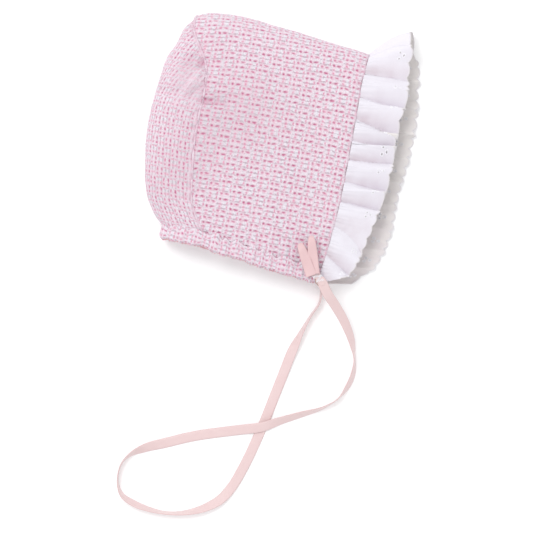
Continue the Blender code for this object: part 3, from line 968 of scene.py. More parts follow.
@dataclass(frozen=True)
class ThreadFinish:
    """Twisted sewing thread of one dye, a little uneven."""

    name: str
    light: tuple
    dark: tuple
    twist: float = 2200.0
    bump_depth: float = 0.00006

    def material(self) -> Material:
        """Builds the finish.

        Returns:
            Its material.
        """
        material, kit = new_material(self.name)
        place = kit.out(kit.node("ShaderNodeTexCoord"), "Object")
        patches, plies = kit.noise(place, 350.0, 2.0), kit.noise(place, self.twist, 1.0)
        share = ((patches + plies) * 0.5 - 0.3) * 1.4
        kit.dress(
            {
                "Base Color": kit.blend(share, self.light, self.dark),
                "Roughness": patches * 0.15 + 0.6,
                "Normal": kit.bump(self.bump_depth, plies),
                "Sheen Weight": 0.2,
            }
        )
        return material


class Dye(Enum):
    """The threads that show."""

    WHITE = ThreadFinish("white_thread", (0.93, 0.92, 0.95), (0.80, 0.785, 0.83))
    LAWN = ThreadFinish("lawn_thread", (0.80, 0.77, 0.785), (0.71, 0.68, 0.695))
    SALMON = ThreadFinish("salmon_thread", (0.82, 0.47, 0.50), (0.68, 0.29, 0.34))
    BROWN = ThreadFinish("brown_thread", (0.42, 0.30, 0.24), (0.26, 0.16, 0.12))


class GeometryTree:
    """A Geometry Nodes tree with named inputs, made for one modifier."""

    def __init__(self, name: str) -> None:
        """Starts the tree with its geometry going in and out.

        Args:
            name: The tree's name.
        """
        self.tree = bpy.data.node_groups.new(name, "GeometryNodeTree")
        for way in ("INPUT", "OUTPUT"):
            self.tree.interface.new_socket("Geometry", in_out=way, socket_type="NodeSocketGeometry")
        self.kit = NodeKit(self.tree)
        self.names: dict[str, str] = {}
        self.group_in: Node | None = None

    def add_inputs(self, kinds: dict[str, str]) -> None:
        """Adds the named inputs, then the node that brings them in.

        Args:
            kinds: Each input's socket type by its name.
        """
        for name, kind in kinds.items():
            made = self.tree.interface.new_socket(name, in_out="INPUT", socket_type=kind)
            self.names[name] = made.identifier
        self.group_in = self.kit.node("NodeGroupInput")

    def given(self, name: str) -> Wire:
        """A named input as a wire."""
        return self.kit.out(self.group_in, name)

    def stored(self, name: str, kind: str = "FLOAT_VECTOR") -> Wire:
        """A stored attribute of the geometry as a wire."""
        read = self.kit.node("GeometryNodeInputNamedAttribute", {"data_type": kind}, {"Name": name})
        return self.kit.out(read)

    def close(self, geometry: Wire) -> None:
        """Realizes the instances, sets the material and ends the tree.

        Args:
            geometry: What the tree made.
        """
        real = self.kit.out(self.kit.node("GeometryNodeRealizeInstances", None, {0: geometry}))
        inputs = {"Geometry": real, "Material": self.given("Material")}
        dressed = self.kit.out(self.kit.node("GeometryNodeSetMaterial", None, inputs))
        self.kit.node("NodeGroupOutput", None, {0: dressed})

    def applied_to(self, obj: Object, values: dict) -> Object:
        """Runs the tree on an object and keeps the result as its plain mesh.

        Args:
            obj: The object.
            values: A value for each named input.

        Returns:
            The object.
        """
        modifier = obj.modifiers.new(self.tree.name, "NODES")
        modifier.node_group = self.tree
        for name, value in values.items():
            modifier[self.names[name]] = value
        return as_plain_mesh(obj)


class KnitRelief:
    """Raises a knitted mesh's bars and sinks its gaps, along the mesh's own outward vectors."""

    def __init__(self, cloth: BlockKnit) -> None:
        """Builds the tree.

        Args:
            cloth: The knit whose chart gives the heights.
        """
        self.tree = GeometryTree("knit_relief")
        self.tree.add_inputs({"Depth": "NodeSocketFloat", "Material": "NodeSocketMaterial"})
        kit, place = self.tree.kit, self.tree.stored("UVMap")
        parts = kit.node("ShaderNodeSeparateXYZ", None, {0: place})
        chart = cloth.chart(kit, place, kit.out(parts, 0), kit.out(parts, 1))
        lift = (chart.rise - 1.0) * self.tree.given("Depth") * self.tree.stored("lift", "FLOAT")
        inputs = {0: self.tree.stored("out"), "Scale": lift}
        offset = kit.node("ShaderNodeVectorMath", {"operation": "SCALE"}, inputs)
        inputs = {"Geometry": self.tree.given("Geometry"), "Offset": kit.out(offset)}
        self.tree.close(kit.out(kit.node("GeometryNodeSetPosition", None, inputs)))

    def raise_on(self, obj: Object, depth: float, material: Material) -> Object:
        """Raises the knit by depth metres on an object with attributes out and lift."""
        return self.tree.applied_to(obj, {"Depth": depth, "Material": material})


class StitchRow:
    """Sews stitches along lines: each lies across its line and flat on the cloth."""

    def __init__(self) -> None:
        """Builds the tree."""
        self.tree = GeometryTree("stitch_row")
        self.tree.add_inputs(
            {
                "Pitch": "NodeSocketFloat",
                "Size": "NodeSocketVector",
                "Jitter": "NodeSocketFloat",
                "Seed": "NodeSocketInt",
                "Material": "NodeSocketMaterial",
            }
        )
        kit, given, stored = self.tree.kit, self.tree.given, self.tree.stored
        line = kit.node("GeometryNodeMeshToCurve", None, {0: given("Geometry")})
        inputs = {"Curve": kit.out(line), "Length": given("Pitch")}
        spots = kit.node("GeometryNodeResampleCurve", {"mode": "LENGTH"}, inputs)
        inputs = {"Segments": 6, "Rings": 4, "Radius": 0.5}
        ball = kit.node("GeometryNodeMeshUVSphere", None, inputs)
        turned = kit.node(
            "FunctionNodeAlignRotationToVector",
            {"axis": "X", "pivot_axis": "AUTO"},
            {"Vector": stored("across")},
        )
        laid = kit.node(
            "FunctionNodeAlignRotationToVector",
            {"axis": "Z", "pivot_axis": "X"},
            {"Rotation": kit.out(turned), "Vector": stored("up")},
        )
        loose = kit.node(
            "FunctionNodeRandomValue",
            {"data_type": "FLOAT"},
            {2: 1 - given("Jitter"), 3: 1 + given("Jitter"), "Seed": given("Seed")},
        )
        inputs = {0: given("Size"), "Scale": kit.out(loose, 1)}
        size = kit.node("ShaderNodeVectorMath", {"operation": "SCALE"}, inputs)
        placed = {"Points": spots, "Instance": ball, "Rotation": laid, "Scale": size}
        inputs = {name: kit.out(node) for name, node in placed.items()}
        sewn = kit.node("GeometryNodeInstanceOnPoints", None, inputs)
        smooth = kit.node("GeometryNodeSetShadeSmooth", None, {0: kit.out(sewn)})
        self.tree.close(kit.out(smooth))

    def sew(self, name: str, lines: list["SeamLine"], stitch: "Stitch") -> Object:
        """Sews one piece of stitches.

        Args:
            name: The piece's name.
            lines: The lines that the stitches follow.
            stitch: The stitch's sizes and thread.

        Returns:
            The piece, a plain mesh.
        """
        points, edges, across, up = [], [], [], []
        for line in lines:
            first = sum(len(part) for part in points)
            count = len(line.points)
            last = count if line.closed else count - 1
            edges += [(first + i, first + (i + 1) % count) for i in range(last)]
            points.append(line.points)
            across.append(line.across)
            up.append(line.up)
        mesh = bpy.data.meshes.new(name)
        mesh.from_pydata(np.vstack(points).tolist(), edges, [])
        add_column(mesh, "across", np.vstack(across))
        add_column(mesh, "up", np.vstack(up))
        values = {
            "Pitch": stitch.pitch,
            "Size": (stitch.length, stitch.width, stitch.thickness),
            "Jitter": stitch.jitter,
            "Seed": SEED,
            "Material": stitch.dye.value.material(),
        }
        return self.tree.applied_to(object_of(name, mesh), values)


@dataclass(frozen=True)
class Stitch:
    """One kind of stitch, in metres."""

    pitch: float
    length: float
    width: float
    thickness: float
    jitter: float
    dye: Dye


class SeamLine(NamedTuple):
    """A line to sew along: at each point the stitch's direction and the cloth's outward one."""

    points: Array
    across: Array
    up: Array
    closed: bool


@dataclass(frozen=True)
class BonnetForm:
    """The shared surface of the crown band and the back panel."""

    half_girth: float = 0.158
    crown_depth: float = 0.108
    back_depth: float = 0.034
    loft: float = 0.037
    wall: float = 0.002
    fold_reach: float = 0.014
    relief: float = 0.003
    lower_lead: float = 0.004
    face: float = 0.0502
    neck: float = -0.0860
    fold_centre: float = 0.45
    back_round_lower: float = 3.2
    back_round_upper: float = 2.2
    sewn_gap: float = 0.0003
    crease_fade: float = 0.55
    crease_floor: float = 0.6
    # How much rose is painted into the deepest creases as shade.
    crease_shade_share: float = 0.30
    crease_full: float = 0.0015
    dimmest: float = 0.85

    def level(self, column: str, height: Array) -> Array:
        """One column of the levels' table at each height."""
        return Column(LEVELS, "height", column)(height)

    def station(self, column: str, depth: Array) -> Array:
        """One column of the stations' table at each depth."""
        return Column(STATIONS, "depth", column)(depth)

    def seam_x(self, height: Array) -> Array:
        """Where the back seam lies at each height."""
        return self.face - self.crown_depth * self.level("seam_back", height)

    def face_x(self, height: Array, side: Array) -> Array:
        """Where the face edge lies at each height, on the layer that side names."""
        lead = np.where(side < 0, self.lower_lead * (1 - height), 0)
        return self.face + self.crown_depth * self.level("face_lead", height) + lead

    def dents(self, depth: Array, height: Array) -> Array:
        """How far the upper side is dented in or swollen out.

        Args:
            depth: Shares from the back seam to the face edge.
            height: Shares from the neck edge to the fold.

        Returns:
            The rise at each place, in metres.
        """
        rise = np.zeros(np.broadcast(depth, height).shape)
        for dent in DENTS:
            along = (depth - dent.depth) * self.crown_depth / (dent.reach_x * self.half_girth)
            up = (height - dent.height) / dent.reach_y
            rise = rise + self.relief * dent.rise * np.exp(-along * along - up * up)
        return rise

    def creases(self, points: Array) -> Array:
        """How far the folds of the upper side lift or sink each point.

        Args:
            points: The points.

        Returns:
            The lifts, in metres.
        """
        lift = np.zeros(points.shape[:-1])
        for crease in CREASES:
            start = np.array((crease.x, crease.y))
            way = np.array((crease.to_x, crease.to_y)) - start
            share = np.clip((points[..., :2] - start) @ way / (way @ way), 0, 1)
            away = np.linalg.norm(points[..., :2] - start - share[..., None] * way, axis=-1)
            lift = lift + crease.rise * (1 - self.crease_fade * share) * hump(away, crease.reach)
        return lift * (points[..., 2] > self.loft * self.fold_centre * self.crease_floor)

    def crease_painted_shade(self, crease: Array) -> Array:
        """The rose painted into the creases as shade, from how far they go in."""
        return self.crease_shade_share * np.clip(-crease / self.crease_full, 0, 1) ** 1.4

    def pooled(self, grid: Array, pools: tuple[Pool, ...] = PAINTED_SHADE_PLACES) -> Array:
        """How deep in the pools of painted shade or painted light each point of a grid lies.

        Args:
            grid: The points.
            pools: The pools.

        Returns:
            The depths, from 0 to 1.
        """
        dim = np.zeros(grid.shape[:2])
        for pool in pools:
            away = np.hypot(grid[..., 0] - pool.x, grid[..., 1] - pool.y)
            dim += pool.depth * hump(away, pool.reach)
        return np.minimum(dim, self.dimmest)

    def side_points(self, depth: Array, height: Array, side: Array) -> Array:
        """Points of the crown band's outer face.

        Args:
            depth: Shares from the back seam to the face edge.
            height: Shares from the neck edge to the crown fold.
            side: Minus one on the lower layer, one on the upper.

        Returns:
            The points.
        """
        depth, height, side = np.broadcast_arrays(depth, height, side)
        back, front = self.seam_x(height), self.face_x(height, side)
        low, high = self.station("neck_rise", depth), self.station("fold_rise", depth)
        shoulder = self.station("shoulder", depth)
        base = np.where(height < 0.5, self.station("neck", depth), shoulder)
        crown = self.station("loft", depth)
        top = self.loft * (base + (crown - base) * np.sin(np.pi * height))
        middle = self.loft * shoulder * self.fold_centre
        from_fold = np.minimum((1 - height) * self.half_girth / self.fold_reach, 1)
        closing = np.sqrt(1 - (1 - from_fold) ** 2)
        upper = middle + (top + self.dents(depth, height) - middle) * closing
        z = np.where(side < 0, middle * (1 - closing), upper)
        y = self.neck + self.half_girth * (low + height * (high - low))
        return np.stack([back + depth * (front - back), y, z], axis=-1)

    def back_points(self, height: Array, turn: Array) -> Array:
        """Points of the back panel.

        Args:
            height: Shares from the neck edge to the crown fold.
            turn: Degrees from -90 at the lower seam to 90 at the upper one.

        Returns:
            The points.
        """
        height, turn = np.broadcast_arrays(height, turn)
        lower = self.side_points(0 * height, height, 0 * height - 1)
        upper = self.side_points(0 * height, height, 0 * height + 1)
        power = np.where(turn < 0, self.back_round_lower, self.back_round_upper)
        angle = np.radians(turn)
        out = np.abs(np.cos(angle)) ** (2 / power)
        up = np.sign(turn) * np.abs(np.sin(angle)) ** (2 / power)
        out = np.where(np.abs(turn) == 90, 0, out)
        puff = self.relief * self.level("puff", height) * np.maximum(np.sin(2 * angle), 0)
        x = lower[..., 0] - self.back_depth * self.level("back_bulge", height) * out
        z = (lower[..., 2] + upper[..., 2]) / 2 + up * (upper[..., 2] - lower[..., 2]) / 2 + puff
        return np.stack([x, lower[..., 1], z], axis=-1)

    def heights(self, straight: int, around: int) -> Array:
        """Heights of points up one layer and half round the fold, closer together there.

        Args:
            straight: Steps up the layer.
            around: Steps round the half of the fold.

        Returns:
            The heights.
        """
        reach = self.fold_reach / self.half_girth
        bend = 1 - reach * (1 - np.sin(np.linspace(0, np.pi / 2, around + 1)))
        return np.concatenate([np.linspace(0, 1 - reach, straight, endpoint=False), bend])

    def rails(self, straight: int, around: int, straight_lower: int) -> tuple[Array, Array]:
        """Heights and sides of points from the lower neck edge round the fold to the upper one.

        Args:
            straight: Steps up the upper layer.
            around: Steps round each half of the fold.
            straight_lower: Steps up the lower layer.

        Returns:
            The heights, and minus one or one for each point's layer.
        """
        lower, upper = self.heights(straight_lower, around), self.heights(straight, around)[:-1]
        heights = np.concatenate([lower, upper[::-1]])
        sides = np.concatenate([-np.ones(len(lower)), np.ones(len(upper))])
        return heights, sides


def ripple(distance: Array, pitch: float) -> Array:
    """Uneven waves from -1 to 1 along a distance, by their mean length."""
    angle = TURN * (distance / pitch)
    return np.cos(angle + 1.7 * np.cos(angle / 3.3) + 1.1 * np.sin(angle / 7.1))


def hump(distance: Array, reach: float) -> Array:
    """A smooth hump of height 1 that fades within a reach."""
    return np.exp(-((distance / reach) ** 2))


@dataclass(frozen=True)
class Gathers:
    """How the seams and the neck edge draw the knit in, and how rosy it is beside a seam."""

    groove: float = 0.0003
    groove_reach: float = 0.0012
    neck: float = 0.0006
    neck_pitch: float = 0.0098
    neck_reach: float = 0.011
    pucker: float = 0.0005
    pucker_pitch: float = 0.0125
    pucker_reach: float = 0.010
    rosy: float = 0.34
    rosy_reach: float = 0.0009
    rosy_pitch: float = 0.0043

    def moved(self, from_seam: Array, up: Array, along: Array) -> Array:
        """How far each point of a panel moves along its outward vector.

        Args:
            from_seam: Its distance from the nearest seam.
            up: Its distance up from the neck edge.
            along: Its distance along the neck edge.

        Returns:
            The moves, in metres.
        """
        groove = -self.groove * hump(from_seam, self.groove_reach)
        gathers = self.neck * np.exp(-up / self.neck_reach) * ripple(along, self.neck_pitch)
        near_seam = np.exp(-from_seam / self.pucker_reach)
        return groove + gathers + self.pucker * near_seam * ripple(up, self.pucker_pitch)

    def tint(self, from_seam: Array, up: Array) -> Array:
        """How rosy the knit is at each distance from a seam and up from the neck edge."""
        uneven = 0.75 + 0.25 * ripple(up, self.rosy_pitch)
        return self.rosy * hump(from_seam, self.rosy_reach) * uneven


@dataclass(frozen=True)
class WalledGrid:
    """A closed wall under a grid of points, with a lining of fewer points inside."""

    outer: Array
    out: Array
    cloth: Array
    wall: float
    lift: Array
    marks: dict
    stride: int = 2

    def mesh(self, name: str) -> Mesh:
        """Builds the mesh, with attributes out and lift for its knit.

        Args:
            name: The mesh's name.

        Returns:
            The closed mesh, its faces pointing outwards.
        """
        rows, columns = self.outer.shape[:2]
        few = (slice(None, None, self.stride),) * 2
        inner = (self.outer - self.out * self.wall)[few]
        lining = grid_faces(*inner.shape[:2])[:, ::-1] + rows * columns
        faces = grid_faces(rows, columns).tolist() + lining.tolist()
        ids = np.arange(rows * columns).reshape(rows, columns)
        inner_ids = rows * columns + np.arange(inner[..., 0].size).reshape(inner.shape[:2])
        for edge, inner_edge in (
            (ids[0], inner_ids[0]),
            (ids[-1, ::-1], inner_ids[-1, ::-1]),
            (ids[::-1, 0], inner_ids[::-1, 0]),
            (ids[:, -1], inner_ids[:, -1]),
        ):
            for i in range(len(inner_edge) - 1):
                near = edge[i * self.stride : (i + 1) * self.stride + 1]
                faces.append((*near.tolist(), int(inner_edge[i + 1]), int(inner_edge[i])))
        points = np.vstack([self.outer.reshape(-1, 3), inner.reshape(-1, 3)])
        cloth = np.vstack([self.cloth.reshape(-1, 2), self.cloth[few].reshape(-1, 2)])
        mesh = mesh_of(name, points, faces, cloth)
        add_column(mesh, "out", np.vstack([self.out.reshape(-1, 3), self.out[few].reshape(-1, 3)]))
        add_column(mesh, "lift", np.concatenate([self.lift.ravel(), np.zeros(inner[..., 0].size)]))
        for column, values in self.marks.items():
            add_column(mesh, column, np.concatenate([values.ravel(), values[few].ravel()]))
        shell = bmesh.new()
        shell.from_mesh(mesh)
        bmesh.ops.remove_doubles(shell, verts=shell.verts, dist=1e-6)
        shell.to_mesh(mesh)
        shell.free()
        point_outwards(mesh)
        return mesh


@dataclass(frozen=True)
class CrownBand:
    """The knitted panel that goes from the lower face edge over the fold to the upper one."""

    form: BonnetForm
    gathers: Gathers = Gathers()
    depth_steps: int = 176
    straight: int = 300
    straight_lower: int = 76
    around: int = 26
    knit_depth: float = 0.0010
    flat_seam: float = 0.0020
    block_x: float = -0.00413
    block_y: float = 0.02374
    hem: float = 0.0028
    hem_groove: float = 0.0003
    hem_reach: float = 0.0008
    hem_round: float = 0.0030
    hem_drop: float = 0.0017
    hem_pale: float = 0.6
    pale_reach: float = 0.0012
    stitch_rosy: float = 0.30
    stitch_inset: float = 0.0006
    stitch_reach: float = 0.0005
    stitch_pitch: float = 0.0029
    edge_rosy: float = 0.22
    edge_reach: float = 0.0010
    welt_width: float = 0.0015
    welt_swell: float = 0.16
    welt_sink: float = 0.0001
    welt_rosy: float = 0.10
    welt_pale: float = 0.75
    welt_pitch: float = 0.0043

    def build(self, relief: KnitRelief, material: Material) -> Object:
        """Builds the panel with its creases and its knit.

        Args:
            relief: Raises the knit.
            material: The knit's finish.

        Returns:
            The panel.
        """
        form, cloth = self.form, BlockKnit()
        heights, sides = form.rails(self.straight, self.around, self.straight_lower)
        depths = np.linspace(0, 1, self.depth_steps + 1)[:, None]
        grid = form.side_points(depths, heights[None, :], sides[None, :])
        out = grid_normals(grid)
        out *= np.sign(out[len(out) // 2, -len(heights) // 4, 2])
        arc = np.linalg.norm(np.diff(grid[:, ::-1], axis=1), axis=-1)
        arc = np.hstack([np.zeros((len(grid), 1)), np.cumsum(arc, axis=1)])[:, ::-1]
        u = grid[..., 0] - self.block_x + cloth.width / 2
        v = grid[:, -1:, 1] + arc - self.block_y + cloth.height / 2
        from_seam = depths * form.crown_depth + 0 * u
        from_face = (1 - depths) * form.crown_depth + 0 * u
        up = heights * form.half_girth + 0 * u
        crease = form.creases(grid)
        marks = self.marks(from_seam, from_face, up)
        # Rose painted into the creases as shade.
        marks["tint"] = marks["tint"] + form.crease_painted_shade(crease)
        # Painted shade in the pools.
        marks["dusk"] = form.pooled(grid)
        move = self.gathers.moved(from_seam, up, grid[..., 0]) + self.turned_hem(from_face) + crease
        grid = grid + out * move[..., None]
        from_edge = form.crown_depth * np.minimum(depths, 1.3 * (1 - depths))
        lift = np.clip(from_edge / self.flat_seam, 0, 1) + 0 * u
        wall = WalledGrid(grid, out, np.stack([u, v], axis=-1), form.wall, lift, marks)
        panel = object_of("side_panel_knit", wall.mesh("side_panel_knit"))
        relief.raise_on(panel, self.knit_depth, material)
        self.welt(grid[0], out[0], material)
        return kept_on_body(panel, "pink_knit", "side_panel")

    def welt(self, line: Array, out: Array, material: Material) -> Object:
        """Lays the seam's soft turned edge in its groove.

        Args:
            line: The seam's points.
            out: The outward vectors there.
            material: The knit's finish.

        Returns:
            The welt.
        """
        cord = Ribbon(self.welt_width, self.welt_width * 0.8, 6)
        across = unit_rows(np.cross(out, np.gradient(line, axis=0)))
        swell = 1 + self.welt_swell * ripple(walked(line), self.welt_pitch)
        mesh = cord.swept("crown_seam_welt", line - out * self.welt_sink, across, swell)
        gone = np.repeat(walked(line), 2 * cord.steps_across)
        add_column(mesh, "tint", self.welt_rosy * (1 + ripple(gone, 2 * self.welt_pitch)))
        add_column(mesh, "pale", np.full(len(gone), self.welt_pale))
        return finished(mesh, material, "pink_knit")

    def marks(self, from_seam: Array, from_face: Array, up: Array) -> dict:
        """The rosier lines of the seam and of the hem's stitches, and the paler hem.

        Args:
            from_seam: Each point's distance from the seam.
            from_face: Its distance from the face edge.
            up: Its distance up from the neck edge.

        Returns:
            The tint's and the paleness's value at each point.
        """
        stitches = np.maximum(ripple(up, self.stitch_pitch), 0)
        line = hump(from_face - self.hem - self.stitch_inset, self.stitch_reach)
        tint = self.gathers.tint(from_seam, up) + self.stitch_rosy * line * stitches
        tint = tint + self.edge_rosy * hump(from_face, self.edge_reach)
        pale = self.hem_pale * np.clip((self.hem - from_face) / self.pale_reach, 0, 1)
        return {"tint": tint, "pale": pale}

    def turned_hem(self, from_face: Array) -> Array:
        """How far the hem's groove and its rounded edge go in.

        Args:
            from_face: Each point's distance from the face edge.

        Returns:
            The moves, in metres.
        """
        turned = np.clip(1 - from_face / self.hem_round, 0, 1)
        groove = self.hem_groove * hump(from_face - self.hem, self.hem_reach)
        return -groove - self.hem_drop * (1 - np.sqrt(1 - turned**2))


@dataclass(frozen=True)
class BackPanel:
    """The knitted panel behind the seam, its rows running up the back of the head."""

    form: BonnetForm
    gathers: Gathers = Gathers(neck_reach=0.012)
    straight: int = 226
    around: int = 24
    turn_steps: int = 130
    knit_depth: float = 0.0008
    flat_seam: float = 0.0020
    allowance: float = 0.0030
    allowance_pale: float = 0.8
    pale_reach: float = 0.0008
    fineness: float = 1.18
    slant_from: float = 0.085
    slant_reach: float = 0.090

    def build(self, relief: KnitRelief, material: Material) -> Object:
        """Builds the panel with its creases and its knit.

        Args:
            relief: Raises the knit.
            material: The knit's finish.

        Returns:
            The panel.
        """
        form, heights = self.form, self.form.heights(self.straight, self.around)
        turns = np.linspace(-90, 90, self.turn_steps + 1)
        grid = form.back_points(heights[:, None], turns[None, :])
        out = grid_normals(grid)
        out *= -np.sign(out[len(heights) // 2, len(turns) // 2, 0])
        out[-1] = unit_rows(out[-2].mean(axis=0))
        step = np.linalg.norm(np.diff(grid, axis=1), axis=-1)
        from_lower = np.hstack([np.zeros((len(grid), 1)), np.cumsum(step, axis=1)])
        from_upper = from_lower[:, -1:] - from_lower
        near = np.minimum(from_upper, from_lower)
        up = walked(grid[:, len(turns) * 3 // 4])[:, None] + 0 * near
        slant = np.maximum(up - self.slant_from, 0) ** 2 / self.slant_reach
        cloth = self.fineness * np.stack([up, from_upper + slant], axis=-1)
        crease = form.creases(grid)
        move = self.gathers.moved(near, up, from_upper) + crease
        move[-1] = move[-2].mean()
        grid = grid + out * move[..., None]
        pale = self.allowance_pale * np.clip((self.allowance - near) / self.pale_reach, 0, 1)
        marks = {
            # The seam's rose, and rose painted into the creases as shade.
            "tint": self.gathers.tint(near, up) + form.crease_painted_shade(crease),
            # The pale seam allowance, and painted light on the swelling beside the seam.
            "pale": np.maximum(pale, form.pooled(grid, SMOOTH_PAINTED_LIGHT_PLACES)),
            # Painted shade in the pools.
            "dusk": form.pooled(grid),
        }
        lift = np.clip(near / self.flat_seam, 0, 1)
        wall = WalledGrid(grid, out, cloth, form.wall, lift, marks)
        panel = object_of("back_panel_knit", wall.mesh("back_panel_knit"))
        relief.raise_on(panel, self.knit_depth, material)
        return kept_on_body(panel, "pink_knit", "back_panel")


@dataclass(frozen=True)
class NeckCasing:
    """The ruched casing along the neck edge and the serged threads round its rim."""

    form: BonnetForm
    depth: float = 0.0068
    thickness: float = 0.0043
    pucker_swell: float = 0.20
    pucker_pitch: float = 0.0092
    crimp_pitch: float = 0.003956
    overlap: float = 2.50
    taper: float = 0.9
    pinch: float = 0.15
    long_pinch: float = 0.05
    long_pitch: float = 0.021
    ruching: float = 1.35
    fineness: float = 1.20
    steps: int = 620
    sides: int = 36
    path_steps: int = 60
    knit_depth: float = 0.0007
    lowest: float = 0.0001
    rim_angle: float = 38.0
    rim_stitch: Stitch = Stitch(0.0019, 0.0034, 0.0013, 0.0012, 0.14, Dye.SALMON)

    def path(self) -> tuple[Array, Array, Array, Array]:
        """The casing's middle line.

        Returns:
            Its points, its outward vectors, the way down from the neck, and the length gone.
        """
        form, share = self.form, np.linspace(0, 1, self.path_steps + 1)
        flat = np.zeros_like(share)
        lower = form.side_points(1 - share, flat, flat - 1)
        back = form.back_points(flat, -90 + 180 * share)[1:-1]
        upper = form.side_points(share, flat, flat + 1)
        line = resampled(np.vstack([lower, back, upper]), self.steps)
        along = unit_rows(np.gradient(line, axis=0))
        down = np.array((0.0, -1.0, 0.0))
        out = unit_rows(np.cross(along, down))
        centre = line - out * form.wall / 2 + down * (form.sewn_gap + self.depth / 2)
        least = self.thickness / 2 * (1 + self.pucker_swell)
        centre[:, 2] = np.maximum(centre[:, 2], least)
        return centre, out, down, walked(line)

    def ruched(self, gone: Array) -> tuple[Array, Array]:
        """The ruching's shares of the casing's depth and thickness, as columns.

        Args:
            gone: The length gone along the casing.

        Returns:
            The shares of the depth and of the thickness.
        """
        pucker = ripple(gone, self.pucker_pitch)[:, None]
        crimps = ripple(gone, self.crimp_pitch)[:, None]
        narrow = 1 + self.pinch * pucker + self.long_pinch * ripple(gone, self.long_pitch)[:, None]
        return narrow, 1 + self.pucker_swell * (0.8 * pucker + 0.35 * crimps)

    def top(self) -> float:
        """The height of the casing's upper face at its front end."""
        centre = self.path()[0]
        return float(centre[-1, 2]) + self.thickness / 2 * (1 + self.pucker_swell)

    def build(self, relief: KnitRelief, material: Material) -> Object:
        """Builds the ruched tube, whose upper side thins out over the panels' edge.

        Args:
            relief: Raises the knit.
            material: The knit's finish.

        Returns:
            The casing.
        """
        centre, out, down, gone = self.path()
        angle = TURN * np.arange(self.sides) / self.sides
        level, rise = np.cos(angle), np.sin(angle)
        normals = unit_rows(level[None, :, None] * down + rise[None, :, None] * out[:, None, :])
        rise = rise * np.where(level < 0, np.abs(rise) ** self.taper, 1.0)
        level = level * np.where(level < 0, self.overlap, 1.0)
        narrow, swell = self.ruched(gone)
        across = level[None, :, None] * down * (self.depth / 2 * narrow)[..., None]
        stand = (rise[None, :] * self.thickness / 2 * swell)[..., None] * out[:, None, :]
        tube = centre[:, None, :] + across + stand
        tube[..., 2] = np.maximum(tube[..., 2], self.lowest)
        v = walked(tube[len(tube) // 2])[None, :] + 0 * swell
        cloth = np.stack([gone[:, None] * self.ruching + 0 * v, v * self.fineness], axis=-1)
        mesh = mesh_of("neck_casing_knit", tube, tube_faces(self.steps, self.sides), cloth)
        add_column(mesh, "out", normals.reshape(-1, 3))
        add_column(mesh, "lift", np.ones(tube[..., 0].size))
        point_outwards(mesh)
        casing = relief.raise_on(object_of("neck_casing_knit", mesh), self.knit_depth, material)
        return kept_on_body(casing, "casing_knit", "neck_casing")

    def serge(self, row: StitchRow) -> Object:
        """Wraps the rim in thread.

        Args:
            row: Sews the stitches.

        Returns:
            The serged rim.
        """
        centre, out, down, gone = self.path()
        narrow, swell = self.ruched(gone)
        turn = math.radians(self.rim_angle)
        level, rise = math.cos(turn), math.sin(turn)
        points = centre + down * level * self.depth / 2 * narrow
        points = points + out * rise * self.thickness / 2 * swell
        across = unit_rows(out * level * self.thickness - down * rise * self.depth)
        up = unit_rows(down * level * self.thickness + out * rise * self.depth)
        points[:, 2] = np.maximum(points[:, 2], self.rim_stitch.thickness)
        line = SeamLine(points, across, up, False)
        return kept_on_body(row.sew("neck_casing_serging", [line], self.rim_stitch), "salmon_satin")


